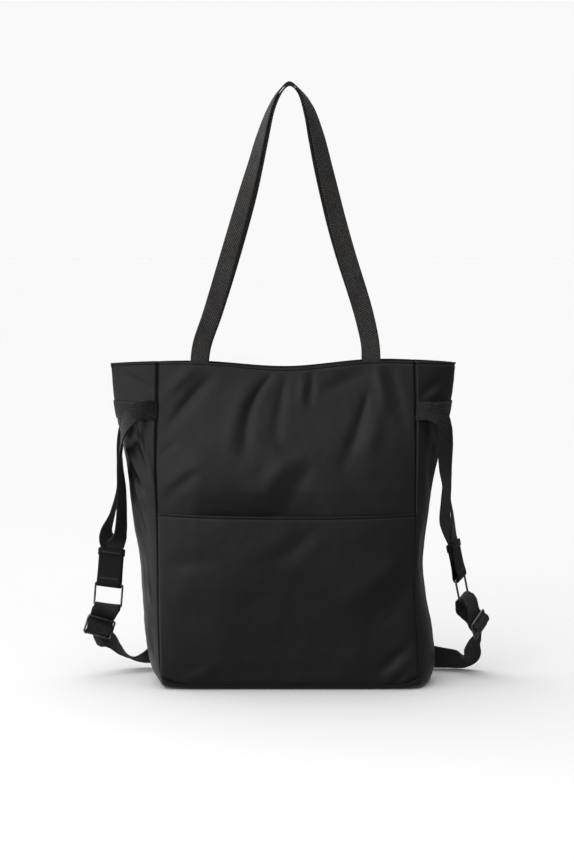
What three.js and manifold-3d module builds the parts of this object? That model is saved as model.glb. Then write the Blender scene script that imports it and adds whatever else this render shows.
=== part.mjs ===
// A tote-shaped backpack of thin black nylon, with webbing handles and straps.
// Millimetres, +Z up. The front faces -Y, and the origin is the middle of the base's underside.
import * as THREE from 'three';
import { mergeVertices } from 'three/addons/utils/BufferGeometryUtils.js';
import Module from 'manifold-3d';

const wasm = await Module();
wasm.setup();

const { clamp, lerp, degToRad } = THREE.MathUtils;
const LEFT = -1;
const RIGHT = 1;

// Cloth, webbing and clearances
const CLOTH = 1.6;
const POCKET_CLOTH = 1.2;
const GAP = 0.3;
const WEBBING = 1.4;
const HANDLE_WEBBING = 2;
const HANDLE_WIDTH = 22;
const STRAND_WIDTH = 22;
const STRAP_WIDTH = 31;

// Body: the foot's turned-up edge, the swell of the walls, and the roundness of the side pleats
const EDGE_RADIUS = 5.5;
const EDGE_START = 0.8;
const SEAM_Z = EDGE_RADIUS + GAP;
const WALL_POWER = 4;
const SEAM_POWER = 8;
const PLEAT_ROUND = 0.6;
const PLEAT_STEP = 0.02;

// Front pocket: room is how far the wall behind it draws back, risen over a height at foot and mouth
const POCKET = { top: 219, sag: 3, room: 3.2, footRise: 40, mouthRise: 30, above: 26 };

// Grid counts of the bent sheets
const FRONT_GRID = { across: 32, low: 5, high: 14, knee: 211 };
const BACK_GRID = { across: 18, up: 12 };
const POCKET_GRID = { across: 28, up: 10 };
const GUSSET_GRID = { across: 10, up: 18 };
const BASE_GRID = { across: 18, deep: 10 };

// Hardware
const WIRE = 2.6;
const WIRE_SIDES = 6;
const BAR_SIDES = 8;
const RING = { width: 35.2, height: 28, corner: 1.7 };
const SLIDER = { width: 35.4, height: 22, corner: 1.7, bar: 2.6 };
const CORNERS = [
  { x: 1, z: -1, start: -90 },
  { x: 1, z: 1, start: 0 },
  { x: -1, z: 1, start: 90 },
  { x: -1, z: -1, start: 180 },
];
const CORNER_TURNS = [0, 45, 90];

// Leather tab: its layers lie to both sides of the strands, which are spread over its width
const TAB = { width: 31, top: 45, leather: 1.4, overlap: 20, lead: 8, spread: 4.2, steps: 2 };
const TAB_LAYER = WEBBING + 2 * GAP + TAB.leather / 2;
const TAB_ANGLES = [0, 30, 60, 90, 120, 150, 180];

// Plan of the body at several heights: each side's seam, outermost pleat and half depth at the seam
const BODY = {
  left: [
    { z: 0, seam: -147, pleat: -158, half: 55 },
    { z: 20, seam: -155, pleat: -170.5, half: 58 },
    { z: 60, seam: -157, pleat: -178, half: 58 },
    { z: 110, seam: -158, pleat: -181, half: 57 },
    { z: 155, seam: -158, pleat: -184.5, half: 55 },
    { z: 220, seam: -159, pleat: -194.5, half: 50 },
    { z: 270, seam: -161, pleat: -199.5, half: 46 },
    { z: 310, seam: -161, pleat: -206, half: 37 },
    { z: 345, seam: -160, pleat: -213, half: 26 },
    { z: 404, seam: -159, pleat: -219, half: 14 },
  ],
  right: [
    { z: 0, seam: 161, pleat: 179, half: 55 },
    { z: 20, seam: 162, pleat: 185.5, half: 57 },
    { z: 60, seam: 160, pleat: 183, half: 57 },
    { z: 110, seam: 157, pleat: 174, half: 58 },
    { z: 155, seam: 157, pleat: 170, half: 58 },
    { z: 220, seam: 158, pleat: 177.5, half: 56 },
    { z: 270, seam: 158, pleat: 186, half: 52 },
    { z: 310, seam: 158, pleat: 195, half: 46 },
    { z: 345, seam: 158, pleat: 202.5, half: 37 },
    { z: 404, seam: 157, pleat: 209, half: 22 },
  ],
};

// How far the middle of the front and back walls stands out beyond their seams
const SWELL = [
  { z: 0, out: 1 },
  { z: 20, out: 4 },
  { z: 60, out: 8 },
  { z: 110, out: 11 },
  { z: 155, out: 13 },
  { z: 220, out: 13 },
  { z: 270, out: 11 },
  { z: 310, out: 8 },
  { z: 345, out: 6 },
  { z: 404, out: 4 },
];
const RIM_Z = 404;

// Height of the rim from side to side
const RIM = [
  { x: -219, z: 399 },
  { x: -110, z: 401 },
  { x: 0, z: 394 },
  { x: 108, z: 403 },
  { x: 208, z: 400 },
];

// Soft folds, from one end to the other, with depth inwards and reach to each side
const FRONT_FOLDS = [
  { x1: -18, z1: 380, x2: -57, z2: 300, depth: 3.4, reach: 10 },
  { x1: -6, z1: 376, x2: -14, z2: 336, depth: 2.2, reach: 8 },
  { x1: 28, z1: 378, x2: 30, z2: 352, depth: 2, reach: 8 },
  { x1: 94, z1: 348, x2: 74, z2: 296, depth: 3.4, reach: 10 },
  { x1: 130, z1: 392, x2: 134, z2: 306, depth: 3, reach: 9 },
  { x1: -112, z1: 366, x2: -146, z2: 318, depth: 2.6, reach: 11 },
  { x1: 30, z1: 268, x2: -58, z2: 246, depth: 4, reach: 20 },
];
const POCKET_FOLDS = [
  { x1: 134, z1: 142, x2: 84, z2: 96, depth: -2.4, reach: 15 },
  { x1: 150, z1: 58, x2: 122, z2: 16, depth: -2, reach: 10 },
  { x1: -146, z1: 36, x2: -132, z2: 16, depth: -1.6, reach: 10 },
];
const GUSSET_FOLDS = [
  { side: LEFT, x1: 0.16, z1: 306, x2: 0.1, z2: 268, depth: 3, reach: 15 },
  { side: LEFT, x1: 0.4, z1: 268, x2: 0.24, z2: 236, depth: 3, reach: 15 },
  { side: LEFT, x1: 0.3, z1: 136, x2: 0.16, z2: 96, depth: 2, reach: 15 },
  { side: RIGHT, x1: 0.2, z1: 300, x2: 0.34, z2: 240, depth: 3, reach: 15 },
  { side: RIGHT, x1: 0.24, z1: 180, x2: 0.36, z2: 132, depth: 2.4, reach: 15 },
];
const GUSSET_DEPTH = 120;

// Handles, from left to right above the rim: turn is 0 where the webbing faces front and 90 where it
// lies across the top, and apart is half the way between the front and the back handle
const HANDLE = [
  { x: -105, z: 422, turn: 2, apart: 12 },
  { x: -92, z: 460, turn: 5, apart: 9.5 },
  { x: -69, z: 535, turn: 22, apart: 5.5 },
  { x: -48.5, z: 606, turn: 36, apart: 4.1 },
  { x: -39, z: 641, turn: 48, apart: 2.8 },
  { x: -30, z: 676, turn: 60, apart: 2.3 },
  { x: -19.5, z: 710, turn: 77, apart: 1.75 },
  { x: -8.5, z: 731, turn: 86, apart: 1.5 },
  { x: 3, z: 741, turn: 90, apart: 1.3 },
  { x: 15.5, z: 731, turn: 84, apart: 1.3 },
  { x: 26.5, z: 710, turn: 62, apart: 1.7 },
  { x: 36, z: 676, turn: 45, apart: 3 },
  { x: 44, z: 641, turn: 36, apart: 3.9 },
  { x: 61, z: 572, turn: 22, apart: 5.5 },
  { x: 71.5, z: 535, turn: 14, apart: 6.5 },
  { x: 94.5, z: 461, turn: 3, apart: 13 },
  { x: 103, z: 422, turn: 0, apart: 17 },
];
const HANDLE_ROOTS = { left: -108, right: 104, depth: 28, ease: 0.7, steps: 2 };

// Webbing band round each side wall, and how far the strands sewn over it stand off
const BAND = { z: 342, start: 0.03, steps: 24 };
const STRAND_LIFT = GAP + WEBBING + 3 * GAP + WEBBING / 2;

// Where each strap's ring and slider hang, turned in degrees: yaw about the vertical, roll in their own
// plane and pitch out of it; the strap's two layers below the ring stand off it by their slack
const HANGING = {
  left: {
    ring: { x: -224.5, y: 8, z: 107, yaw: -12, roll: 5, pitch: 0, slackFront: 0, slackBack: 4 },
    slider: { x: -237, y: 18, z: 64, yaw: 8, roll: 18, pitch: 0 },
  },
  right: {
    ring: { x: 219.5, y: 8, z: 117, yaw: 68, roll: -9, pitch: -9, slackFront: 6, slackBack: 8 },
    slider: { x: 243, y: 20, z: 66.6, yaw: 57, roll: -28, pitch: 0 },
  },
};

// Upper strands between side seam and tab: the middle of the webbing, and which way its outer edge
// points, given by its heading in the plan, in degrees, and by how far it rises
const STRANDS = {
  strand_left_front: [
    { x: -173, y: -36, z: 345, heading: 116, rise: 48 },
    { x: -188, y: -37, z: 339, heading: 116, rise: 38 },
    { x: -199, y: -33, z: 324, heading: 116, rise: 22 },
    { x: -204, y: -27, z: 305, heading: 114, rise: 6 },
    { x: -208, y: -14, z: 273, heading: 108, rise: 0 },
    { x: -207, y: -7, z: 241, heading: 117, rise: 0 },
    { x: -208, y: -3, z: 208, heading: 113, rise: 0 },
    { x: -211, y: -2, z: 190, heading: 126, rise: 0 },
  ],
  strand_left_back: [
    { x: -175, y: 38, z: 346, heading: -116, rise: 54 },
    { x: -191, y: 39, z: 340, heading: -116, rise: 38 },
    { x: -203, y: 35, z: 322, heading: -116, rise: 22 },
    { x: -208.5, y: 28, z: 303, heading: -108, rise: 6 },
    { x: -210.5, y: 20, z: 271, heading: -97, rise: 0 },
    { x: -211.5, y: 17, z: 240, heading: -94, rise: 0 },
    { x: -216.5, y: 14, z: 208, heading: -103, rise: 0 },
    { x: -222.5, y: 11, z: 190, heading: -136, rise: 0 },
  ],
  strand_right_front: [
    { x: 173, y: -47, z: 343, heading: 50, rise: 60 },
    { x: 186, y: -46, z: 337, heading: 40, rise: 44 },
    { x: 193, y: -40, z: 322, heading: 30, rise: 20 },
    { x: 194.5, y: -31, z: 300, heading: 30, rise: 4 },
    { x: 195.5, y: -22, z: 272, heading: 43, rise: 0 },
    { x: 197.5, y: -17, z: 250, heading: 58, rise: 0 },
    { x: 196.5, y: -14, z: 226, heading: 54, rise: 0 },
    { x: 196, y: -13, z: 205, heading: 50, rise: 0 },
  ],
  strand_right_back: [
    { x: 174, y: 47, z: 344, heading: -60, rise: 60 },
    { x: 190, y: 47, z: 338, heading: -64, rise: 44 },
    { x: 202, y: 42, z: 322, heading: -70, rise: 20 },
    { x: 205.5, y: 33, z: 300, heading: -78, rise: 4 },
    { x: 207.5, y: 20, z: 266, heading: -86, rise: 0 },
    { x: 208.5, y: 14, z: 230, heading: -94, rise: 0 },
    { x: 210, y: 14, z: 204, heading: -102, rise: 0 },
  ],
};
const STRAND_STEPS = 3;

// Lower straps from the foot's back corner to the slider: the middle of the webbing, and its upper or
// inner edge as heading and rise
const STRAPS = {
  left: [
    { x: -172, y: 62, z: 18, heading: 90, rise: 52 },
    { x: -186, y: 60, z: 16, heading: 90, rise: 36 },
    { x: -200, y: 55, z: 18, heading: 86, rise: 24 },
    { x: -213, y: 48, z: 29, heading: 78, rise: 12 },
    { x: -225, y: 42, z: 42, heading: 52, rise: 2 },
    { x: -236.5, y: 34.5, z: 48.5, heading: 32, rise: -12 },
  ],
  right: [
    { x: 178, y: 62, z: 17.5, heading: 262, rise: 78 },
    { x: 190, y: 62, z: 16, heading: 262, rise: 74 },
    { x: 206, y: 60, z: 15, heading: 256, rise: 64 },
    { x: 221, y: 55, z: 14.5, heading: 250, rise: 54 },
    { x: 232, y: 46, z: 20, heading: 242, rise: 30 },
    { x: 236, y: 37, z: 37, heading: 230, rise: 4 },
  ],
};
const STRAP_ROOT = { length: 13, z: 18 };
const STRAP_STEPS = 2;

// The strap's way through its slider, as depth behind the slider's plane and height above its middle bar
const SLIDER_WAY = [
  { depth: 5.8, up: -12 },
  { depth: 3.8, up: -10.4 },
  { depth: -5, up: -2.6 },
  { depth: -5, up: 2.6 },
  { depth: 3.8, up: 10.4 },
  { depth: 4.6, up: 14.5 },
];
const SLIDER_RETURN = [
  { depth: 6.2, up: 12 },
  { depth: 5.2, up: 6 },
  { depth: 2.7, up: 0.8 },
  { depth: 1.75, up: -1.75 },
  { depth: 0, up: -2.5 },
  { depth: -1.75, up: -1.75 },
  { depth: -2.45, up: 0.6 },
];
const LOOP_RADIUS = WIRE / 2 + 1.2 * GAP + WEBBING / 2;
const LOOP_ANGLES = [0, 45, 90, 135, 180];
const LOOP_LEAD = 9;

// Finishes
const finish = (color, roughness, metalness = 0) =>
  () => new THREE.MeshStandardMaterial({ color, roughness, metalness, flatShading: true });
const nylon = finish(0x26272a, 0.6);
const webbing = finish(0x2b2826, 0.85);
const leather = finish(0x1f1f20, 0.55);
const gunmetal = finish(0x2d2d30, 0.35, 1);

const WELD = 1e-4;

// A box's faces are listed as +x, -x, +y, -y, +z and -z, each square as two triangles of three corners
const FAR_FACE = 2;
const SQUARE_CORNERS = 6;

const bag = new THREE.Group();

function addPiece(name, geometry, material) {
  const mesh = new THREE.Mesh(geometry, material());
  mesh.name = name;
  bag.add(mesh);
  return mesh;
}

// Joins a geometry's shared corners, so that only closed surfaces are left
function welded(geometry) {
  geometry.deleteAttribute('normal');
  geometry.deleteAttribute('uv');
  return mergeVertices(geometry, WELD);
}

// A box whose every corner is moved by a function of its place in the box, which runs from -1 to 1
function bentBox(across, deep, up, place) {
  const box = welded(new THREE.BoxGeometry(2, 2, 2, across, deep, up));
  const position = box.attributes.position;
  for (let i = 0; i < position.count; i += 1) {
    const point = place(position.getX(i), position.getY(i), position.getZ(i));
    position.setXYZ(i, point.x, point.y, point.z);
  }
  box.computeVertexNormals();
  return box;
}

// Splits the squares of a box's far face as those of its near face, so that the two can't meet where it twists
function evenlySplit(box) {
  const { start, count } = box.groups[FAR_FACE];
  for (let i = start; i < start + count; i += SQUARE_CORNERS) {
    const first = box.index.getX(i);
    const opposite = box.index.getX(i + 4);
    box.index.setX(i + 2, opposite);
    box.index.setX(i + 3, first);
  }
  return box;
}

// One column of a table at a place along its key column, on a smooth curve through the rows
function along(rows, key, column, at) {
  const row = (n) => rows[clamp(n, 0, rows.length - 1)];
  let i = 0;
  while (i < rows.length - 2 && at > rows[i + 1][key]) i += 1;
  const slope = (n) => (row(n + 1)[column] - row(n - 1)[column]) / (row(n + 1)[key] - row(n - 1)[key]);
  const span = row(i + 1)[key] - row(i)[key];
  const t = clamp((at - row(i)[key]) / span, 0, 1);
  const ease = t * t * (3 - 2 * t);
  return lerp(row(i)[column], row(i + 1)[column], ease)
    + span * t * (1 - t) * ((1 - t) * slope(i) - t * slope(i + 1));
}

const sideName = (side) => (side === LEFT ? 'left' : 'right');
const sideAt = (side, column, z) => along(BODY[sideName(side)], 'z', column, z);
const rim = (x) => along(RIM, 'x', 'z', x);

// Depth of the folds near a place, each fading over its reach
function folded(folds, x, z, scale = 1) {
  let depth = 0;
  for (const fold of folds) {
    const run = new THREE.Vector2((fold.x2 - fold.x1) * scale, fold.z2 - fold.z1);
    const off = new THREE.Vector2((x - fold.x1) * scale, z - fold.z1);
    const share = clamp(off.dot(run) / run.lengthSq(), 0, 1);
    const away = off.addScaledVector(run, -share).length();
    depth += fold.depth * Math.exp(-((away / fold.reach) ** 2));
  }
  return depth;
}

// A place on the front or back wall at a height; s runs from -1 at the left seam to 1 at the right one
function wall(s, z) {
  const share = (s + 1) / 2;
  const half = lerp(sideAt(LEFT, 'half', z), sideAt(RIGHT, 'half', z), share);
  return {
    x: lerp(sideAt(LEFT, 'seam', z), sideAt(RIGHT, 'seam', z), share),
    half: half + along(SWELL, 'z', 'out', z) * (1 - s ** WALL_POWER),
  };
}

// How far the front wall draws back behind the pocket, which lies on it at its seams
function pocketRoom(s, z) {
  const low = clamp((z - SEAM_Z) / POCKET.footRise, 0, 1);
  const high = clamp((POCKET.top + POCKET.above - z) / POCKET.mouthRise, 0, 1);
  return POCKET.room * (1 - s ** WALL_POWER) * low * high;
}

function frontFace(s, z) {
  const { x, half } = wall(s, z);
  const free = 1 - s ** SEAM_POWER;
  return { x, y: -half + free * folded(FRONT_FOLDS, x, z) + pocketRoom(s, z) };
}

function frontPanel() {
  const { across, low, high, knee } = FRONT_GRID;
  return bentBox(across, 1, low + high, (s, deep, up) => {
    const row = ((up + 1) / 2) * (low + high);
    const top = rim(wall(s, RIM_Z).x);
    const z = row < low ? lerp(SEAM_Z, knee, row / low) : lerp(knee, top, (row - low) / high);
    const face = frontFace(s, z);
    return new THREE.Vector3(face.x, face.y + (deep > 0 ? CLOTH : 0), z);
  });
}

function backPanel() {
  return bentBox(BACK_GRID.across, 1, BACK_GRID.up, (s, deep, up) => {
    const top = rim(wall(s, RIM_Z).x);
    const z = lerp(SEAM_Z, top, (up + 1) / 2);
    const { x, half } = wall(s, z);
    return new THREE.Vector3(x, half - (deep > 0 ? 0 : CLOTH), z);
  });
}

function frontPocket() {
  return bentBox(POCKET_GRID.across, 1, POCKET_GRID.up, (s, deep, up) => {
    const top = POCKET.top - POCKET.sag * (1 - s * s);
    const z = lerp(SEAM_Z, top, (up + 1) / 2);
    const { x, half } = wall(s, z);
    const free = 1 - s ** SEAM_POWER;
    const front = -half - GAP - POCKET_CLOTH + free * folded(POCKET_FOLDS, x, z);
    return new THREE.Vector3(x, front + (deep > 0 ? POCKET_CLOTH : 0), z);
  });
}

// Seam, pleat and half depth of one side wall at a height
function sideWall(side, z) {
  return { seam: sideAt(side, 'seam', z), pleat: sideAt(side, 'pleat', z), half: sideAt(side, 'half', z) };
}

// Plan of a side wall: t runs from 0 at the front seam round the pleat to 1 at the back seam
function pleatPlan({ seam, pleat, half }, t) {
  const out = lerp(1 - Math.abs(2 * t - 1), Math.sin(Math.PI * t), PLEAT_ROUND);
  const deep = lerp(2 * t - 1, -Math.cos(Math.PI * t), PLEAT_ROUND);
  return new THREE.Vector2(seam + (pleat - seam) * out, half * deep);
}

// The way along a side wall's plan at t, and the way out of it
function outwardFrom(plan, side, t) {
  const after = pleatPlan(plan, Math.min(t + PLEAT_STEP, 1));
  const run = after.sub(pleatPlan(plan, Math.max(t - PLEAT_STEP, 0))).normalize();
  return { run, out: new THREE.Vector2(side * run.y, -side * run.x) };
}

// A point on a side wall's outer face, lifted off it
function gussetPoint(side, t, z, lift) {
  const plan = sideWall(side, z);
  const folds = GUSSET_FOLDS.filter((fold) => fold.side === side);
  const dent = Math.sin(Math.PI * t) * folded(folds, t, z, GUSSET_DEPTH);
  const point = pleatPlan(plan, t).addScaledVector(outwardFrom(plan, side, t).out, lift - dent);
  return new THREE.Vector3(point.x, point.y, z);
}

// The side wall starts where its cut edge clears the inner corner of the front wall
function gussetStart(side, z) {
  const plan = sideWall(side, z);
  const { run } = outwardFrom(plan, side, 0);
  const clear = CLOTH * Math.abs(run.y) + GAP;
  const pace = pleatPlan(plan, PLEAT_STEP).distanceTo(pleatPlan(plan, 0)) / PLEAT_STEP;
  return clear / pace;
}

function gusset(side) {
  const { seam, pleat } = sideWall(side, RIM_Z);
  return bentBox(1, GUSSET_GRID.across, GUSSET_GRID.up, (outward, round, up) => {
    const top = rim(lerp(seam, pleat, 1 - Math.abs(round)));
    const z = lerp(SEAM_Z, top, (up + 1) / 2);
    const start = gussetStart(side, z);
    const t = lerp(start, 1 - start, (round + 1) / 2);
    return gussetPoint(side, t, z, side * outward > 0 ? 0 : -CLOTH);
  });
}

// One way across the base: flat in the middle, then a quarter turn up at each end
function turnedUp(s, half, radius) {
  const bend = clamp((Math.abs(s) - EDGE_START) / (1 - EDGE_START), 0, 1) * (Math.PI / 2);
  const flat = clamp(s / EDGE_START, -1, 1);
  return {
    place: flat * (half - EDGE_RADIUS) + Math.sign(s) * radius * Math.sin(bend),
    height: EDGE_RADIUS - radius * Math.cos(bend),
  };
}

function basePanel() {
  const left = sideWall(LEFT, EDGE_RADIUS);
  const right = sideWall(RIGHT, EDGE_RADIUS);
  return bentBox(BASE_GRID.across, BASE_GRID.deep, 1, (s, deep, up) => {
    const radius = up > 0 ? EDGE_RADIUS - CLOTH : EDGE_RADIUS;
    const t = (deep + 1) / 2;
    const leftEdge = pleatPlan(left, t).x;
    const rightEdge = pleatPlan(right, t).x;
    const sideways = turnedUp(s, (rightEdge - leftEdge) / 2, radius);
    const depthways = turnedUp(deep, wall(s, EDGE_RADIUS).half, radius);
    return new THREE.Vector3(
      (leftEdge + rightEdge) / 2 + sideways.place,
      depthways.place,
      Math.max(sideways.height, depthways.height),
    );
  });
}

// Distance from the middle plane to the inner face of the front or back wall
function wallInside(facing, x, z) {
  const left = sideAt(LEFT, 'seam', z);
  const s = (2 * (x - left)) / (sideAt(RIGHT, 'seam', z) - left) - 1;
  return (facing > 0 ? -frontFace(s, z).y : wall(s, z).half) - CLOTH;
}

// A flat ribbon through stations, each a point and the direction across the webbing
function ribbon(stations, width, thickness, steps) {
  const spans = stations.length - 1;
  const curve = new THREE.CatmullRomCurve3(stations.map((station) => station.point), false, 'centripetal');
  const strip = bentBox(1, 1, spans * steps, (across, deep, length) => {
    const share = (length + 1) / 2;
    const first = Math.min(Math.floor(share * spans), spans - 1);
    const tangent = curve.getTangent(share);
    const side = stations[first].across.clone().lerp(stations[first + 1].across, share * spans - first);
    side.addScaledVector(tangent, -side.dot(tangent)).normalize();
    const face = new THREE.Vector3().crossVectors(tangent, side);
    return curve.getPoint(share)
      .addScaledVector(side, (across * width) / 2)
      .addScaledVector(face, (deep * thickness) / 2);
  });
  return evenlySplit(strip);
}

// Unit vector from a heading in the plan and a rise above it, in degrees
function direction({ heading, rise }) {
  const level = Math.cos(degToRad(rise));
  return new THREE.Vector3(
    level * Math.cos(degToRad(heading)),
    level * Math.sin(degToRad(heading)),
    Math.sin(degToRad(rise)),
  );
}

const station = (row) => ({ point: new THREE.Vector3(row.x, row.y, row.z), across: direction(row) });

// One handle: its roots lie inside the rim, and at the top the front handle lies on the back one
function handle(facing) {
  const curve = new THREE.CatmullRomCurve3(HANDLE.map((row) => new THREE.Vector3(row.x, 0, row.z)));
  const rising = HANDLE.map((row, i) => {
    const run = curve.getTangent(i / (HANDLE.length - 1));
    const outer = new THREE.Vector3(-run.z, 0, run.x);
    const turn = degToRad(row.turn);
    const face = new THREE.Vector3(0, -Math.cos(turn), 0).addScaledVector(outer, Math.sin(turn));
    const across = new THREE.Vector3(0, Math.sin(turn), 0).addScaledVector(outer, Math.cos(turn));
    return { point: new THREE.Vector3(row.x, 0, row.z).addScaledVector(face, facing * row.apart), across };
  });
  const root = (x, across) => [HANDLE_ROOTS.depth, HANDLE_ROOTS.depth / 2, 0].map((below) => {
    const z = rim(x) - below;
    const edges = [-1, 0, 1].map((edge) => wallInside(facing, x + (edge * HANDLE_WIDTH) / 2, z));
    const y = Math.min(...edges) - GAP - HANDLE_ROOTS.ease - HANDLE_WEBBING / 2;
    return { point: new THREE.Vector3(x, -facing * y, z), across };
  });
  const leftRoot = root(HANDLE_ROOTS.left, new THREE.Vector3(-1, 0, 0));
  const rightRoot = root(HANDLE_ROOTS.right, new THREE.Vector3(1, 0, 0)).reverse();
  const stations = [...leftRoot, ...rising, ...rightRoot];
  return ribbon(stations, HANDLE_WIDTH, HANDLE_WEBBING, HANDLE_ROOTS.steps);
}

function sideBand(side) {
  return bentBox(1, BAND.steps, 1, (outward, round, up) => {
    const t = lerp(BAND.start, 1 - BAND.start, (round + 1) / 2);
    const lift = GAP + (side * outward > 0 ? WEBBING : 0);
    return gussetPoint(side, t, BAND.z + (up * STRAND_WIDTH) / 2, lift);
  });
}

// The frame in which a ring or slider hangs
function hangingFrame({ x, y, z, yaw, roll, pitch }) {
  const frame = new THREE.Object3D();
  frame.position.set(x, y, z);
  frame.rotation.set(degToRad(pitch), degToRad(roll), degToRad(yaw), 'ZYX');
  frame.updateMatrixWorld();
  return frame;
}

const inFrame = (frame, x, y, z) => new THREE.Vector3(x, y, z).applyMatrix4(frame.matrixWorld);
const acrossFrame = (frame) => new THREE.Vector3(1, 0, 0).transformDirection(frame.matrixWorld);

// An upper strand: sewn over the side band at its seam, then down to its tab, between whose layers it ends
function strand(side, facing, rows, frame) {
  const t = facing > 0 ? BAND.start : 1 - BAND.start;
  const edge = (up) => gussetPoint(side, t, BAND.z + (up * STRAND_WIDTH) / 2, STRAND_LIFT);
  const seam = { point: edge(0), across: edge(1).sub(edge(-1)).normalize() };
  const across = acrossFrame(frame);
  if (across.dot(direction(rows.at(-1))) < 0) across.negate();
  const order = side * facing;
  const inTab = [TAB.lead, 0, -TAB.overlap].map((above) => {
    const depth = (order * (2 * GAP + WEBBING)) / 2;
    const point = inFrame(frame, -order * TAB.spread, depth, RING.height / 2 + TAB.top + above);
    return { point, across };
  });
  return ribbon([seam, ...rows.map(station), ...inTab], STRAND_WIDTH, WEBBING, STRAND_STEPS);
}

// The tab is one strip of leather, folded round the ring's upper bar
function tab(frame) {
  const bar = RING.height / 2;
  const fold = TAB_ANGLES.map((angle) => ({
    depth: TAB_LAYER * Math.cos(degToRad(angle)),
    up: bar - TAB_LAYER * Math.sin(degToRad(angle)),
  }));
  const way = [{ depth: TAB_LAYER, up: bar + TAB.top }, ...fold, { depth: -TAB_LAYER, up: bar + TAB.top }];
  const stations = way.map(({ depth, up }) => ({
    point: inFrame(frame, 0, depth, up),
    across: acrossFrame(frame),
  }));
  return ribbon(stations, TAB.width, TAB.leather, TAB.steps);
}

// The sewn end of a lower strap on the back wall's foot
function strapRoot(side) {
  const { length, z } = STRAP_ROOT;
  const { seam } = sideWall(side, z);
  const wide = sideAt(RIGHT, 'seam', z) - sideAt(LEFT, 'seam', z);
  return [length, 0].map((inside) => {
    const y = wall(side * (1 - (2 * inside) / wide), z).half + 2 * GAP + WEBBING / 2;
    return { point: new THREE.Vector3(seam - side * inside, y, z), across: new THREE.Vector3(0, 0, 1) };
  });
}

// The lower strap: from the foot through the slider, round the ring's lower bar and back to the slider's
// middle bar
function lowerStrap(side, rows, { slackFront, slackBack }, ringFrame, sliderFrame) {
  const across = (frame) => acrossFrame(frame).multiplyScalar(-side);
  const atSlider = ({ depth, up }) => ({
    point: inFrame(sliderFrame, 0, depth, up),
    across: across(sliderFrame),
  });
  const atRing = (depth, up) => ({
    point: inFrame(ringFrame, 0, depth, up - RING.height / 2),
    across: across(ringFrame),
  });
  const loop = LOOP_ANGLES.map(degToRad).map((angle) =>
    atRing(-LOOP_RADIUS * Math.cos(angle), LOOP_RADIUS * Math.sin(angle)));
  const stations = [
    ...strapRoot(side),
    ...rows.map(station),
    ...SLIDER_WAY.map(atSlider),
    atRing(-LOOP_RADIUS - slackFront, -LOOP_LEAD),
    ...loop,
    atRing(LOOP_RADIUS + slackBack, -LOOP_LEAD),
    ...SLIDER_RETURN.map(atSlider),
  ];
  return ribbon(stations, STRAP_WIDTH, WEBBING, STRAP_STEPS);
}

// A wire bent to a rectangle with round corners, standing in its own XZ plane: each step of a torus
// is moved to its place on the nearest corner
function wireFrame({ width, height, corner }) {
  const steps = CORNERS.length * CORNER_TURNS.length;
  const radius = 2 * WIRE;
  const ring = welded(new THREE.TorusGeometry(radius, WIRE / 2, WIRE_SIDES, steps));
  const position = ring.attributes.position;
  for (let i = 0; i < position.count; i += 1) {
    const angle = Math.atan2(position.getY(i), position.getX(i)) / (2 * Math.PI);
    const step = Math.round(angle * steps + steps) % steps;
    const { x, z, start } = CORNERS[Math.floor(step / CORNER_TURNS.length)];
    const heading = degToRad(start + CORNER_TURNS[step % CORNER_TURNS.length]);
    const out = corner + Math.hypot(position.getX(i), position.getY(i)) - radius;
    position.setXYZ(
      i,
      x * (width / 2 - corner) + out * Math.cos(heading),
      -position.getZ(i),
      z * (height / 2 - corner) + out * Math.sin(heading),
    );
  }
  return ring;
}

// Joins two closed geometries into one solid
function joined(first, second) {
  const solid = (geometry) => new wasm.Manifold(new wasm.Mesh({
    numProp: 3,
    vertProperties: Float32Array.from(geometry.attributes.position.array),
    triVerts: Uint32Array.from(geometry.index.array),
  }));
  const mesh = solid(first).add(solid(second)).getMesh();
  const geometry = new THREE.BufferGeometry();
  geometry.setAttribute('position', new THREE.BufferAttribute(mesh.vertProperties, 3));
  geometry.setIndex(new THREE.BufferAttribute(mesh.triVerts, 1));
  return geometry;
}

function slider() {
  const bar = welded(new THREE.CylinderGeometry(SLIDER.bar / 2, SLIDER.bar / 2, SLIDER.width, BAR_SIDES));
  bar.rotateZ(Math.PI / 2);
  return joined(wireFrame(SLIDER), bar);
}

function addHardware(name, geometry, frame) {
  const mesh = addPiece(name, geometry, gunmetal);
  mesh.position.copy(frame.position);
  mesh.rotation.copy(frame.rotation);
}

addPiece('front_panel', frontPanel(), nylon);
addPiece('back_panel', backPanel(), nylon);
addPiece('base_panel', basePanel(), nylon);
addPiece('front_pocket', frontPocket(), nylon);
addPiece('handle_front', handle(1), webbing);
addPiece('handle_back', handle(-1), webbing);

for (const side of [LEFT, RIGHT]) {
  const name = sideName(side);
  const { ring, slider: adjuster } = HANGING[name];
  const ringFrame = hangingFrame(ring);
  const sliderFrame = hangingFrame(adjuster);
  addPiece(`gusset_${name}`, gusset(side), nylon);
  addPiece(`side_band_${name}`, sideBand(side), webbing);
  for (const [end, facing] of [['front', 1], ['back', -1]]) {
    const piece = `strand_${name}_${end}`;
    addPiece(piece, strand(side, facing, STRANDS[piece], ringFrame), webbing);
  }
  addPiece(`tab_${name}`, tab(ringFrame), leather);
  addHardware(`ring_${name}`, wireFrame(RING), ringFrame);
  addHardware(`slider_${name}`, slider(), sliderFrame);
  addPiece(`strap_${name}`, lowerStrap(side, STRAPS[name], ring, ringFrame, sliderFrame), webbing);
}

export default bag;
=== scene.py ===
"""The finish of a tote-shaped backpack: its cloth, webbing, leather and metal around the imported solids.

The tables hold millimetres, as a bag maker's pattern does. Every mesh is brought to metres once it is shaped.
"""
import math
from collections import namedtuple

import bmesh
import bpy
import numpy as np
from bpy.props import FloatProperty, FloatVectorProperty, PointerProperty
from mathutils import Matrix, Vector, noise


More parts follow.
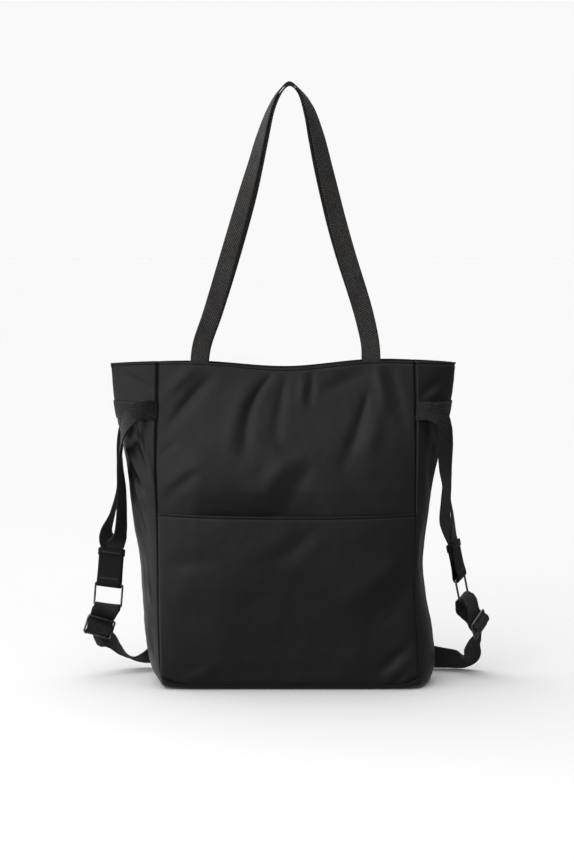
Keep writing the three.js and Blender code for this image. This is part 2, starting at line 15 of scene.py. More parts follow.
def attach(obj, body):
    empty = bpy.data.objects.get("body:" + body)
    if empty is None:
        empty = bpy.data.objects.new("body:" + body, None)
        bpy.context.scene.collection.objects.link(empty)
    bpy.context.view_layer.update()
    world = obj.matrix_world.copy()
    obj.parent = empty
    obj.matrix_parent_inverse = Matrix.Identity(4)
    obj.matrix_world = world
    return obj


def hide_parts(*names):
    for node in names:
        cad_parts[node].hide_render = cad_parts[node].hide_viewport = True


bl_info = {
    "name": "Tote Backpack",
    "version": (1, 0, 0),
    "blender": (4, 5, 0),
    "location": "View3D > Sidebar > Backpack",
    "description": "Makes the cloth, webbing, leather and metal of a tote-shaped backpack",
    "category": "Add Mesh",
}

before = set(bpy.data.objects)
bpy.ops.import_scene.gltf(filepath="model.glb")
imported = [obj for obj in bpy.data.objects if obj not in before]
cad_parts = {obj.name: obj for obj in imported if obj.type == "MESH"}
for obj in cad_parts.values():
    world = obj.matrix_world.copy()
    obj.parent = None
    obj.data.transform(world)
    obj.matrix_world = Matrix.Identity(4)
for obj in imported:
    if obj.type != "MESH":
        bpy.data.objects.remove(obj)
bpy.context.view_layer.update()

MM = 0.001
LEFT, RIGHT = -1, 1
FRONT, BACK = 1, -1
SIDE_NAMES = {LEFT: "left", RIGHT: "right"}
END_NAMES = {FRONT: "front", BACK: "back"}
CARRIER = "root"

# Angles of the steps round half a turn
HALF_TURN = (0, 30, 60, 90, 120, 150, 180)

# Body: plan of the bag at several heights, as each side's seam, outermost pleat and half depth at the seam
HEIGHTS = (0, 20, 60, 110, 155, 220, 270, 310, 345, 404)
BODY = {
    LEFT: {
        "seam": (-147, -155, -157, -158, -158, -159, -161, -161, -160, -159),
        "pleat": (-158, -170.5, -178, -181, -184.5, -194.5, -199.5, -206, -213, -219),
        "half": (55, 58, 58, 57, 55, 50, 46, 37, 26, 14),
    },
    RIGHT: {
        "seam": (161, 162, 160, 157, 157, 158, 158, 158, 158, 157),
        "pleat": (179, 185.5, 183, 174, 170, 177.5, 186, 195, 202.5, 209),
        "half": (55, 57, 57, 58, 58, 56, 52, 46, 37, 22),
    },
}
SWELL = (1, 4, 8, 11, 13, 13, 11, 8, 6, 4)
RIM_Z = 404
RIM = {"x": (-219, -110, 0, 108, 208), "z": (399, 401, 394, 403, 400)}
EDGE_RADIUS = 5.5
EDGE_START = 0.8
GAP = 0.3
SEAM_Z = EDGE_RADIUS + GAP
WALL_POWER = 4
SEAM_POWER = 8
PLEAT_ROUND = 0.6
PLEAT_STEP = 0.02
GUSSET_DEPTH, GUSSET_POWER = 120, 0.5
CORNER_LIFT, CORNER_ACROSS, CORNER_DEEP = 10, 14, 6
BASE_HALVES = 158, 56

# Front pocket
POCKET = {"top": 219, "sag": 3, "room": 3.2, "foot_rise": 40, "mouth_rise": 30, "above": 26}

# Sewn edges: how deep and wide a wall dives into its seam, and the rolled hem of rim and pocket
SEAM_DIP, SEAM_REACH, SEAM_RISE = 3.0, 1.5, 20
FOOT_DIP, FOOT_REACH = 2.6, 3.2
HEM_ROLL, HEM_MIDDLE, HEM_REACH = 0.5, 1, 1.6
HEM_GROOVE, HEM_BELOW, GROOVE_REACH = 1.1, 3.6, 0.9

# Slow ripples of hanging cloth: their size and depth, and the fall, narrowing and number of the noise's
# levels. Each wall takes another layer of the same noise
RIPPLE_SIZE, RIPPLE_DEPTH, RIPPLE_NOISE = 46, 0.9, (1, 2, 3)
FRONT_LAYER, BACK_LAYER, POCKET_LAYER, GUSSET_LAYER = 0, 3, 6, 9

# Cut of each cloth panel: the squares of its mesh across and up, and its flat size
CUTS = {
    "front_panel": ((170, 170), (330, 406)),
    "back_panel": ((130, 120), (330, 406)),
    "front_pocket": ((160, 110), (330, 216)),
    "gusset_left": ((120, 210), (128, 404)),
    "gusset_right": ((120, 210), (128, 404)),
    "base_panel": ((80, 50), (348, 126)),
}
EDGE_CROWD, TOP_CROWD = 0.85, 0.7

# Rounding of cut edges, as a share of the thickness, and the mesh of strips: squares across, steps from
# station to station, and how far a strip's middle sinks
CLOTH_ROUNDING, STRIP_ROUNDING, EDGE_STEPS, EDGE_ANGLE = 0.35, 0.3, 2, 55
STRIP_SQUARES, HANDLE_STEPS, STRAND_STEPS, STRAP_STEPS, TAB_STEPS = 8, 8, 12, 10, 10
STRAND_CUP, STRAP_CUP = 0.5, 0.4
RUN_STEP = 1e-4

# Rows of stitches: one stitch for each so many stitch lengths, how far they stand proud, and where rows start
STITCH_PITCH, STITCH_PROUD, RIM_STITCH_PROUD, BAND_STITCH_INSET = 1.35, 0.15, 0.1, 2.2
RIM_ROW_END, RIM_ROW_PLACES = 0.985, 160
SIDE_ROW_START, SIDE_ROW_PLACES = 0.03, 80
BAND_ROW_START, BAND_ROW_PLACES = 0.08, 60
BEAD_SIDES, BEAD_STEPS = 6, 4

# Soft folds: a path through three points across and up, its depth inwards, and its reach to each side at the
# path's two ends. The cloth bulges where the depth is below zero. On the side walls, across is the way round
# from the front seam
FRONT_FOLDS = (
    (-108, 400, -134, 378, -160, 350, -3.2, 9, 7),
    (-88, 388, -120, 354, -156, 310, 4.2, 9, 6),
    (-14, 391, -45, 343, -50, 282, 3.6, 3, 9),
    (-34, 390, -62, 340, -70, 286, -2.0, 9, 12),
    (1, 392, -9, 346, -13, 302, 2.4, 4, 9),
    (-16, 330, -5, 299, 30, 294, 1.6, 8, 12),
    (19, 392, 19, 370, 15, 345, -1.6, 5, 6),
    (30, 393, 30, 371, 25, 344, 2.0, 3.2, 6),
    (100, 390, 70, 379, 42, 362, 1.8, 8, 9),
    (99, 370, 87, 322, 64, 266, 3.4, 3.4, 10),
    (114, 366, 108, 324, 94, 286, -2.0, 9, 10),
    (109, 406, 115, 377, 127, 326, -3.2, 7, 9),
    (126, 406, 136, 357, 150, 304, 2.0, 6, 9),
    (38, 292, 8, 245, -8, 210, 2.0, 9, 14),
    (22, 298, -14, 264, -36, 236, -2.6, 11, 13),
    (-118, 214, -30, 208, 52, 214, 8.0, 34, 30),
    (-98, 278, -133, 252, -162, 222, 2.2, 8, 8),
    (-86, 286, -126, 266, -160, 238, -1.6, 9, 9),
    (-132, 304, -147, 296, -160, 286, 2.0, 4, 5),
)
POCKET_FOLDS = (
    (38, 202, 7, 176, -26, 156, 1.8, 9, 14),
    (18, 210, -20, 186, -54, 160, -1.0, 12, 16),
    (158, 172, 108, 138, 56, 104, -2.6, 14, 18),
    (164, 136, 128, 104, 84, 60, 4.6, 17, 24),
    (160, 64, 135, 42, 108, 18, 3.2, 5, 8),
    (164, 48, 140, 27, 112, 6, -1.8, 7, 8),
    (150, 30, 138, 14, 128, 4, 1.8, 4, 5),
    (-96, 26, -16, 23, 70, 27, 2.0, 12, 12),
    (-84, 30, -116, 15, -148, 2, -1.4, 7, 7),
    (-160, 150, -120, 160, -56, 162, 1.2, 10, 13),
)
BACK_FOLDS = (
    (-52, 392, -44, 330, -74, 256, 3.0, 6, 14),
    (40, 394, 62, 326, 60, 262, 3.0, 6, 14),
    (118, 398, 132, 350, 150, 304, 2.8, 6, 9),
    (-112, 396, -132, 344, -156, 300, 2.8, 8, 8),
    (-130, 92, -60, 70, 50, 86, 2.6, 22, 28),
    (90, 176, 40, 150, -20, 140, -1.8, 18, 22),
)
GUSSET_FOLDS = {
    LEFT: (
        (17, 322, 9, 286, 2, 248, -3.4, 3.4, 3.0),
        (28, 318, 21, 285, 10, 250, 3.0, 6, 5),
        (56, 310, 33, 277, 12, 244, -4.0, 3.8, 3.4),
        (54, 284, 36, 258, 22, 236, 3.0, 7, 6),
        (42, 260, 29, 238, 17, 216, -3.4, 3.6, 3.4),
        (36, 336, 22, 306, 10, 268, -3.6, 2.6, 2.4),
        (48, 238, 40, 208, 30, 176, -3.4, 3.2, 2.8),
        (36, 226, 30, 204, 22, 182, 2.4, 5, 5),
        (30, 84, 24, 60, 20, 34, -2.8, 3.4, 3.2),
        (28, 154, 21, 128, 15, 98, -3.4, 4.2, 4.0),
        (40, 176, 32, 130, 26, 84, 1.8, 9, 9),
        (34, 388, 14, 374, -2, 360, 2.2, 4, 5),
        (18, 338, 32, 320, 44, 292, 8.5, 11, 9),
        (64, 330, 44, 312, 36, 290, -3.0, 8, 7),
        (90, 300, 84, 240, 92, 180, 2.4, 14, 16),
    ),
    RIGHT: (
        (20, 316, 34, 276, 46, 226, 2.8, 9, 14),
        (6, 300, 16, 262, 26, 214, -1.8, 8, 10),
        (24, 200, 36, 158, 46, 114, 2.4, 10, 14),
        (34, 382, 14, 367, -2, 354, 2.8, 5, 7),
        (44, 372, 26, 362, 8, 358, -1.6, 6, 7),
        (18, 330, 34, 318, 46, 296, 3.0, 8, 9),
        (84, 310, 92, 250, 84, 180, 2.4, 14, 16),
    ),
}
FOLD_PATH_STEPS = 10
FOLD_FADE = 1.1

# Handles, from left to right above the rim: turn is 0 where the webbing faces front and 90 where it lies
# across the top, and apart is half the way between the front and the back handle
HANDLE = {
    "x": (-105, -92, -69, -48.5, -39, -30, -19.5, -8.5, 3, 15.5, 26.5, 36, 44, 61, 71.5, 94.5, 103),
    "z": (422, 460, 535, 606, 641, 676, 710, 731, 741, 731, 710, 676, 641, 572, 535, 461, 422),
    "turn": (2, 5, 22, 36, 48, 60, 77, 86, 90, 84, 62, 45, 36, 22, 14, 3, 0),
    "apart": (12, 9.5, 5.5, 4.1, 2.8, 2.3, 1.75, 1.5, 1.3, 1.3, 1.7, 3, 3.9, 5.5, 6.5, 13, 17),
}
HANDLE_ROOTS = {LEFT: -108, RIGHT: 104}
ROOT_DEPTH, ROOT_EASE = 28, 0.7

# Webbing band round each side wall: its height, its start round the wall, its flat length and the squares of
# its mesh, and how far out of the seam the strands over it start
BAND_Z, BAND_START, BAND_LENGTH, BAND_SQUARES = 342, 0.03, 124, (90, 8)
STRAND_IN_SEAM = -0.4

# Where each strap's ring and slider hang, turned in degrees: yaw about the vertical, roll in their own plane
# and pitch out of it
Hanging = namedtuple("Hanging", "x y z yaw roll pitch")
RINGS = {LEFT: Hanging(-224.5, 8, 107, -12, 5, 0), RIGHT: Hanging(219.5, 8, 117, 68, -9, -9)}
SLIDERS = {LEFT: Hanging(-237, 18, 64, 8, 18, 0), RIGHT: Hanging(243, 20, 66.6, 57, -28, 0)}
RING_WIDTH, RING_HEIGHT, SLIDER_WIDTH, SLIDER_HEIGHT, WIRE_CORNER = 35.2, 28, 34.4, 22, 1.9
WIRE_SIDES, WIRE_TURN_STEPS, WIRE_WELD = 14, 5, 0.01

# Upper strands between side seam and tab: the middle of the webbing, and which way its outer edge points, as
# heading in the plan and rise, in degrees
STRANDS = {
    (LEFT, FRONT): (
        (-173, -36, 345, 116, 104),
        (-188, -37, 339, 116, 84),
        (-199, -33, 324, 112, 40),
        (-204, -27, 305, 98, 8),
        (-207, -14, 273, 80, 0),
        (-206, -7, 241, 66, 0),
        (-206.5, -3, 208, 60, 0),
        (-208.5, -1.5, 185, 50, 0),
    ),
    (LEFT, BACK): (
        (-175, 38, 346, -116, 54),
        (-191, 39, 340, -116, 38),
        (-203, 35, 322, -116, 22),
        (-208.5, 28, 303, -108, 6),
        (-210.5, 20, 271, -97, 0),
        (-211.5, 17, 240, -94, 0),
        (-219, 14, 208, -103, 0),
        (-226.5, 10.5, 185, -128, 0),
    ),
    (RIGHT, FRONT): (
        (173, -47, 343, 50, 102),
        (186, -46, 337, 44, 80),
        (193, -40, 322, 34, 36),
        (194.5, -31, 300, 30, 4),
        (195.5, -22, 272, 43, 0),
        (197.5, -17, 250, 58, 0),
        (196.5, -14, 226, 54, 0),
        (196, -13, 205, 50, 0),
    ),
    (RIGHT, BACK): (
        (174, 47, 344, -60, 60),
        (190, 47, 338, -64, 44),
        (202, 42, 322, -70, 20),
        (203.5, 33, 300, -78, 4),
        (203.5, 20, 266, -86, 0),
        (204.5, 14, 230, -94, 0),
        (208, 14, 204, -102, 0),
    ),
}

# Lower straps from the foot's back corner to the slider
STRAPS = {
    LEFT: (
        (-172, 62, 18, 270, 56),
        (-186, 60, 16, 270, 34),
        (-200, 55, 18, 272, 14),
        (-213, 48, 29, 262, 2),
        (-223, 41, 41, 254, -8),
        (-233, 34.5, 50, 224, 5),
    ),
    RIGHT: (
        (178, 62, 17.5, 262, 78),
        (190, 62, 16, 262, 74),
        (206, 60, 15, 256, 64),
        (223, 56, 14.5, 250, 56),
        (235, 47, 20, 240, 26),
        (236.5, 37, 37, 230, 4),
    ),
}
STRAP_ROOT_LENGTH, STRAP_ROOT_Z = 13, 18

# The strap's way through its slider, as depth behind the slider's plane and height above its middle bar
SLIDER_WAY = ((5.8, -12), (3.8, -10.4), (-5.4, -3.2), (-5.4, 3.2), (3.8, 10.4), (4.6, 14.5))
SLIDER_RETURN = ((6.2, 12), (5.2, 6), (2.7, 0.8), (1.75, -1.75), (0, -2.5), (-1.75, -1.75), (-2.45, 0.6))

# The strap's round loop over the ring's lower bar: its radius, and how far its front and back layer stand off
# the straight way from the bar to the slider, at a share of that way. It keeps a gap to the bar
BAR_GAP = 1.2 * GAP
LOOPS = {LEFT: (4.6, (-5.0, 0.5), (5.0, 0.5)), RIGHT: (6.4, (-4.5, 0.5), (9.5, 0.5))}

# Leather tab: its layers lie to both sides of the strands, which are spread over its width
TAB_WIDTH, TAB_TOP, TAB_LEATHER, TAB_OVERLAP, TAB_LEAD, TAB_SPREAD = 31, 45, 1.4, 20, 4, 4.4
TAB_LIP_HEIGHT, TAB_LIP_DEPTH, TAB_LIP_OVER, TAB_LIP_ROUND, TAB_LIP_STEPS = 9.2, 2.2, 1.1, 1.0, 3
TAB_SWELL, TAB_WAIST = 1.1, 15
TAB_STITCH_ROWS = ((7.5, 0.5), (40.6, 1.1))
TAB_STITCH_INSET = 3

# Camera and stage, in metres
CAMERA_EYE, CAMERA_AIM, CAMERA_LENS = (0, -2.5, 0.56), (0, 0, 0.315), 84.5
FLOOR_HALF = 40
KEY_PLACE, KEY_AIM, KEY_SIZE = (-0.85, -1.35, 0.75), (0, 0, 0.25), 0.8
STUDIO_SIDE, STUDIO_FALL, OVERHEAD_FALL = (-0.9, 0.05, 0.35), 3, 4

# Finishes
WHITE = (1, 1, 1)
TWILL_SLANT = 48


def length(name, description, millimetres):
    """A size that the user may change."""
    return FloatProperty(
        name=name, description=description, default=millimetres * MM, unit="LENGTH", precision=4
    )


def shade(name, description, *default):
    """A colour that the user may change."""
    return FloatVectorProperty(
        name=name, description=description, default=default, subtype="COLOR", size=3, min=0, max=1
    )


def brightness(name, description, default):
    """A strength of light that the user may change."""
    return FloatProperty(name=name, description=description, default=default, min=0)


class BackpackSizes(bpy.types.PropertyGroup):
    """Thicknesses and widths of the bag's materials."""

    cloth: length("Cloth", "Thickness of the walls", 1.6)
    pocket_cloth: length("Pocket cloth", "Thickness of the pocket", 1.2)
    webbing: length("Webbing", "Thickness of straps and bands", 1.4)
    handle_webbing: length("Handle webbing", "Thickness of the handles", 2)
    handle_width: length("Handle width", "Width of the handles", 22)
    strand_width: length("Strand width", "Width of strands and side bands", 22)
    strap_width: length("Strap width", "Width of the lower straps", 31)
    wire: length("Wire", "Thickness of rings and sliders", 2.6)
    thread: length("Thread", "Thickness of the sewing thread", 0.7)
    stitch: length("Stitch", "Length of one stitch", 2.6)


class BackpackColours(bpy.types.PropertyGroup):
    """Colours of the bag's materials."""

    nylon: shade("Nylon", "Colour of the cloth", 0.0055, 0.0056, 0.0062)
    handles: shade("Handles", "Colour of the handles' webbing", 0.0165, 0.0149, 0.014)
    # Painted shade: the straps take the handles' webbing in a darker copy, standing in for the shade they lie
    # in
    straps: shade("Straps", "Colour of the straps' webbing", 0.0078, 0.0069, 0.0066)
    leather: shade("Leather", "Colour of the tabs", 0.0022, 0.0016, 0.0016)
    gunmetal: shade("Gunmetal", "Colour of rings and sliders", 0.1, 0.097, 0.1)
    # Painted highlight: the black thread is given a colour far lighter than the cloth, standing in for the
    # glints on its stitches
    thread: shade("Thread", "Colour of the stitches", 0.075, 0.07, 0.066)


class BackpackStage(bpy.types.PropertyGroup):
    """Floor and light that the bag is shown in."""

    floor: shade("Floor", "Colour of the floor", 0.632, 0.632, 0.632)
    background: brightness("Background", "Brightness behind the bag", 0.95)
    sky_low: brightness("Far light", "Brightness of the studio away from its lamps", 0.26)
    sky_high: brightness("Near light", "Brightness of the studio on the lamps' side", 2.15)
    overhead: brightness("Overhead light", "Glow of the studio's ceiling", 1.8)
    key: brightness("Key", "Power of the main lamp", 7.5)


def sizes(name):
    """One of the user's sizes, in millimetres."""
    return getattr(bpy.context.scene.backpack_sizes, name) / MM


def colour(name):
    """One of the user's colours."""
    return getattr(bpy.context.scene.backpack_colours, name)


def mix(a, b, share):
    """The value between two values at a share of the way."""
    return a + (b - a) * share


def along(keys, values, at):
    """A table's values at places along its keys, on a smooth curve through the rows."""
    keys = np.asarray(keys, float)
    values = np.asarray(values, float)
    rows = np.arange(len(keys))
    after = np.minimum(rows + 1, len(keys) - 1)
    before = np.maximum(rows - 1, 0)
    slopes = (values[after] - values[before]) / (keys[after] - keys[before])
    i = np.clip(np.searchsorted(keys, at) - 1, 0, len(keys) - 2)
    span = keys[i + 1] - keys[i]
    t = np.clip((at - keys[i]) / span, 0, 1)
    bend = span * t * (1 - t) * ((1 - t) * slopes[i] - t * slopes[i + 1])
    return mix(values[i], values[i + 1], t * t * (3 - 2 * t)) + bend


def crowded(place, share):
    """Places from -1 to 1, moved together towards both ends by a share."""
    return mix(place, np.sin(place * np.pi / 2), share)


def crowded_up(place, share):
    """Places from -1 to 1 as shares of a height, moved together towards the top."""
    height = (place + 1) / 2
    return mix(height, np.sin(height * np.pi / 2), share)


def fold_depth(folds, x, z):
    """How far a set of folds pushes the cloth inwards at some places; each fades towards its ends."""
    total = np.zeros_like(x)
    for x1, z1, x2, z2, x3, z3, depth, reach, spread in folds:
        start, end = np.array((x1, z1), float), np.array((x3, z3), float)
        pull = 2 * np.array((x2, z2)) - (start + end) / 2
        shares = np.linspace(0, 1, FOLD_PATH_STEPS + 1)[:, None]
        path = (1 - shares) ** 2 * start + 2 * shares * (1 - shares) * pull + shares ** 2 * end
        nearest = np.full_like(x, np.inf)
        share = np.zeros_like(x)
        for step, (first, second) in enumerate(zip(path, path[1:])):
            run = second - first
            ahead = np.clip(((x - first[0]) * run[0] + (z - first[1]) * run[1]) / (run @ run), 0, 1)
            away = np.hypot(x - first[0] - ahead * run[0], z - first[1] - ahead * run[1])
            closer = away < nearest
            nearest = np.where(closer, away, nearest)
            share = np.where(closer, (step + ahead) / FOLD_PATH_STEPS, share)
        fading = (4 * share * (1 - share)) ** FOLD_FADE
        total += depth * fading * np.exp(-(nearest / mix(reach, spread, share)) ** 2)
    return total


def ripples(x, z, layer):
    """The slow unevenness of cloth that hangs free."""
    places = (Vector((a / RIPPLE_SIZE, b / RIPPLE_SIZE, layer)) for a, b in zip(x, z))
    return RIPPLE_DEPTH * np.array([noise.fractal(place, *RIPPLE_NOISE) for place in places])


def side_at(side, column, z):
    """One column of a side's plan at some heights."""
    return along(HEIGHTS, BODY[side][column], z)


def rim(x):
    """Height of the rim from side to side."""
    return along(RIM["x"], RIM["z"], x)


def seams(z):
    """Places of the left and the right seam at some heights."""
    return side_at(LEFT, "seam", z), side_at(RIGHT, "seam", z)


def wall(s, z):
    """Place across and half depth of the front and back walls; s runs from -1 to 1 between their seams."""
    share = (s + 1) / 2
    half = mix(side_at(LEFT, "half", z), side_at(RIGHT, "half", z), share)
    return mix(*seams(z), share), half + along(HEIGHTS, SWELL, z) * (1 - s ** WALL_POWER)


def dip(off, z):
    """How far cloth dives into a side seam at a distance off it; the dip runs out at the foot's corners."""
    rise = np.clip((z - SEAM_Z - CORNER_LIFT) / SEAM_RISE, 0, 1)
    return SEAM_DIP * rise * np.exp(-(off / SEAM_REACH) ** 2)


def seam_dip(s, z):
    """How far a wall dives into its side seams."""
    left, right = seams(z)
    return dip((1 - np.abs(s)) * (right - left) / 2, z)


def corner_lift(s, deep):
    """How far the foot's soft corners rise off the floor; both ways run from -1 to 1."""
    return CORNER_LIFT * np.abs(s) ** CORNER_ACROSS * np.abs(deep) ** CORNER_DEEP


def wall_foot(s):
    """Height of the seam at the foot of the front and back walls."""
    return SEAM_Z + corner_lift(s, 1)


def hem_out(below):
    """How far a rolled hem stands out, and the groove under it draws in, at a distance below the edge."""
    roll = HEM_ROLL * np.exp(-((below - HEM_MIDDLE) / HEM_REACH) ** 2)
    return roll - HEM_GROOVE * np.exp(-((below - HEM_BELOW) / GROOVE_REACH) ** 2)


def pocket_room(s, z):
    """How far the front wall draws back behind the pocket."""
    low = np.clip((z - SEAM_Z) / POCKET["foot_rise"], 0, 1)
    high = np.clip((POCKET["top"] + POCKET["above"] - z) / POCKET["mouth_rise"], 0, 1)
    return POCKET["room"] * (1 - s ** WALL_POWER) * low * high


def wall_top(s):
    """Height of the rim above places on the front and back walls."""
    return rim(wall(s, np.full_like(s, RIM_Z))[0])


def hung_point(facing, folds, layer, top, s, z, inside=0.0):
    """Points on the outer face of a wall or pocket, drawn in by folds, seams and hem."""
    x, half = wall(s, z)
    folded = (1 - s ** SEAM_POWER) * (fold_depth(folds, x, z) + ripples(x, z, layer))
    inwards = folded + inside + seam_dip(s, z) - hem_out(top - z)
    return np.column_stack((x, -facing * (half - inwards), z))


def front_point(s, z):
    """Points on the outer face of the front wall."""
    return hung_point(FRONT, FRONT_FOLDS, FRONT_LAYER, wall_top(s), s, z, pocket_room(s, z))


def back_point(s, z):
    """Points on the outer face of the back wall."""
    return hung_point(BACK, BACK_FOLDS, BACK_LAYER, wall_top(s), s, z)


def pocket_top(s):
    """Height of the pocket's edge, which sags between its ends."""
    return POCKET["top"] - POCKET["sag"] * (1 - s * s)


def pocket_point(s, z):
    """Points on the outer face of the front pocket."""
    foot = FOOT_DIP * np.exp(-((z - wall_foot(s)) / FOOT_REACH) ** 2)
    inside = foot - GAP - sizes("pocket_cloth")
    return hung_point(FRONT, POCKET_FOLDS, POCKET_LAYER, pocket_top(s), s, z, inside)


def pleat_deep(t):
    """How deep a place round a side wall lies, from -1 at the front seam to 1 at the back seam."""
    return mix(2 * t - 1, -np.cos(np.pi * t), PLEAT_ROUND)


def pleat_plan(side, t, z):
    """Plan of a side wall: t runs from 0 at the front seam round the pleat to 1 at the back seam."""
    seam = side_at(side, "seam", z)
    out = mix(1 - np.abs(2 * t - 1), np.sin(np.pi * t), PLEAT_ROUND)
    x = seam + (side_at(side, "pleat", z) - seam) * out
    return np.stack((x, side_at(side, "half", z) * pleat_deep(t)), axis=-1)


def gusset_point(side, t, z, lift=0.0, smooth=False):
    """Points on a side wall's outer face, lifted off it; a smooth one leaves out the folds."""
    t, z = np.broadcast_arrays(np.asarray(t, float), np.asarray(z, float))
    before, after = np.maximum(t - PLEAT_STEP, 0), np.minimum(t + PLEAT_STEP, 1)
    run = unit(pleat_plan(side, after, z) - pleat_plan(side, before, z))
    out = np.stack((side * run[..., 1], -side * run[..., 0]), axis=-1)
    dent = np.zeros_like(t)
    if not smooth:
        span = t * GUSSET_DEPTH
        free = np.sin(np.pi * t) ** GUSSET_POWER
        dent = free * (fold_depth(GUSSET_FOLDS[side], span, z) + ripples(span, z, GUSSET_LAYER + side))
        dent = dent + dip(np.minimum(span, GUSSET_DEPTH - span), z)
    plan = pleat_plan(side, t, z) + out * (lift - dent)[..., None]
    return np.concatenate((plan, z[..., None]), axis=-1)


def gusset_top(side, t):
    """Height of the rim above places round a side wall."""
    at_rim = np.full_like(t, RIM_Z)
    out = 1 - np.abs(2 * t - 1)
    return rim(mix(side_at(side, "seam", at_rim), side_at(side, "pleat", at_rim), out))


def turned_up(s, half, radius):
    """One way across the base: flat in the middle, then a quarter turn up at each end."""
    bend = np.clip((np.abs(s) - EDGE_START) / (1 - EDGE_START), 0, 1) * np.pi / 2
    flat = np.clip(s / EDGE_START, -1, 1)
    place = flat * (half - radius) + np.sign(s) * radius * np.sin(bend)
    return place, radius * (1 - np.cos(bend))


def base_point(s, deep):
    """Points on the underside of the base, whose edges turn up to meet the walls."""
    half_width, half_depth = BASE_HALVES
    share_across = turned_up(s, half_width, EDGE_RADIUS)[0] / half_width
    share_deep = turned_up(deep, half_depth, EDGE_RADIUS)[0] / half_depth
    lift = corner_lift(share_across, share_deep)
    edge = SEAM_Z + lift
    t = (deep + 1) / 2
    left = pleat_plan(LEFT, t, edge)[..., 0]
    right = pleat_plan(RIGHT, t, edge)[..., 0]
    across, side_height = turned_up(s, (right - left) / 2, EDGE_RADIUS)
    depth, end_height = turned_up(deep, wall(s, edge)[1], EDGE_RADIUS)
    return np.column_stack(((left + right) / 2 + across, depth, np.maximum(side_height, end_height) + lift))


def wall_inside(facing, x, z):
    """Distance from the middle plane to the inner face of the front or back wall."""
    left, right = seams(z)
    s = 2 * (x - left) / (right - left) - 1
    half = wall(s, z)[1]
    if facing == FRONT:
        half = half - (1 - s ** SEAM_POWER) * fold_depth(FRONT_FOLDS, x, z)
    return half - sizes("cloth")


def smooth_path(points, shares):
    """Points along a smooth curve through some points, at shares of its spans."""
    points = np.asarray(points, float)
    spans = len(points) - 1
    padded = np.vstack((2 * points[0] - points[1], points, 2 * points[-1] - points[-2]))
    first = np.minimum((np.asarray(shares) * spans).astype(int), spans - 1)
    t = (np.asarray(shares) * spans - first)[:, None]
    p0, p1, p2, p3 = (padded[first + n] for n in range(4))
    pairs = (p0, p1), (p1, p2), (p2, p3)
    d0, d1, d2 = (np.sum((b - a) ** 2, axis=1, keepdims=True) ** 0.25 for a, b in pairs)
    leave = d1 * ((p1 - p0) / d0 - (p2 - p0) / (d0 + d1) + (p2 - p1) / d1)
    reach = d1 * ((p2 - p1) / d1 - (p3 - p1) / (d1 + d2) + (p3 - p2) / d2)
    square = -3 * p1 + 3 * p2 - 2 * leave - reach
    cube = 2 * p1 - 2 * p2 + leave + reach
    return p1 + leave * t + square * t ** 2 + cube * t ** 3


def unit(vectors):
    """Vectors brought to a length of one."""
    return vectors / np.linalg.norm(vectors, axis=-1, keepdims=True)


def ribbon_frames(stations, shares):
    """Middle, way across, face and run of a flat ribbon through stations, at shares of its spans."""
    points, ways = zip(*stations)
    ways = np.asarray(ways, float)
    spans = len(stations) - 1
    middle = smooth_path(points, shares)
    ahead = smooth_path(points, np.minimum(shares + RUN_STEP, 1))
    behind = smooth_path(points, np.maximum(shares - RUN_STEP, 0))
    run = unit(ahead - behind)
    first = np.minimum((shares * spans).astype(int), spans - 1)
    across = mix(ways[first], ways[first + 1], (shares * spans - first)[:, None])
    across = unit(across - run * np.sum(across * run, axis=1, keepdims=True))
    return middle, across, np.cross(run, across), run


def lengths_along(points):
    """How far along a line each of its points lies."""
    return np.concatenate(((0,), np.cumsum(np.linalg.norm(np.diff(points, axis=0), axis=1))))


def shade_smooth(bm):
    """Lets the light run smoothly over a mesh's faces."""
    for face in bm.faces:
        face.smooth = True


def cloth_grid(across, up, wide, tall):
    """A flat grid from -1 to 1 whose pattern is laid out in millimetres."""
    bm = bmesh.new()
    pattern = bm.loops.layers.uv.new("pattern")
    bmesh.ops.create_grid(bm, x_segments=across, y_segments=up, size=1, calc_uvs=True)
    shade_smooth(bm)
    for face in bm.faces:
        for loop in face.loops:
            loop[pattern].uv = (loop[pattern].uv.x * wide, loop[pattern].uv.y * tall)
    return bm


def mark_edges(bm, axis):
    """Notes how near each place of a flat strip lies to its long edges, from 0 in the middle to 1."""
    edge = bm.verts.layers.float.new("edge")
    for vert in bm.verts:
        vert[edge] = abs(vert.co[axis])


def bend(bm, place):
    """Moves each vertex of a flat grid to where a function puts its place in the grid."""
    flat = np.array([vert.co[:2] for vert in bm.verts])
    for vert, point in zip(bm.verts, place(flat[:, 0], flat[:, 1])):
        vert.co = point


def face_towards(bm, outward):
    """Turns the faces round where most of them look away from a direction."""
    bm.normal_update()
    if sum((face.normal * face.calc_area()).dot(Vector(outward)) for face in bm.faces) < 0:
        bmesh.ops.reverse_faces(bm, faces=bm.faces[:])


def placed(name, data):
    """A new object in the scene."""
    made = bpy.data.objects.new(name, data)
    bpy.context.scene.collection.objects.link(made)
    return made


def meshed(name, bm, material):
    """A new object of a mesh with its material."""
    mesh = bpy.data.meshes.new(name)
    bm.to_mesh(mesh)
    bm.free()
    mesh.materials.append(material)
    return placed(name, mesh)


def finished(name, bm, material, node=None):
    """Makes a mesh in millimetres a piece of the bag, in metres."""
    bmesh.ops.scale(bm, vec=(MM, MM, MM), verts=bm.verts)
    piece = meshed(name, bm, material)
    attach(piece, CARRIER)
    if node:
        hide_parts(node)
    return piece


def thicken(piece, thickness, offset, rounding):
    """Gives a sheet its thickness and rounds its cut edges, in millimetres."""
    solid = piece.modifiers.new("thickness", "SOLIDIFY")
    solid.thickness = thickness * MM
    solid.offset = offset
    solid.use_quality_normals = True
    edge = piece.modifiers.new("edge", "BEVEL")
    edge.width = rounding * thickness * MM
    edge.segments = EDGE_STEPS
    edge.limit_method = "ANGLE"
    edge.angle_limit = math.radians(EDGE_ANGLE)


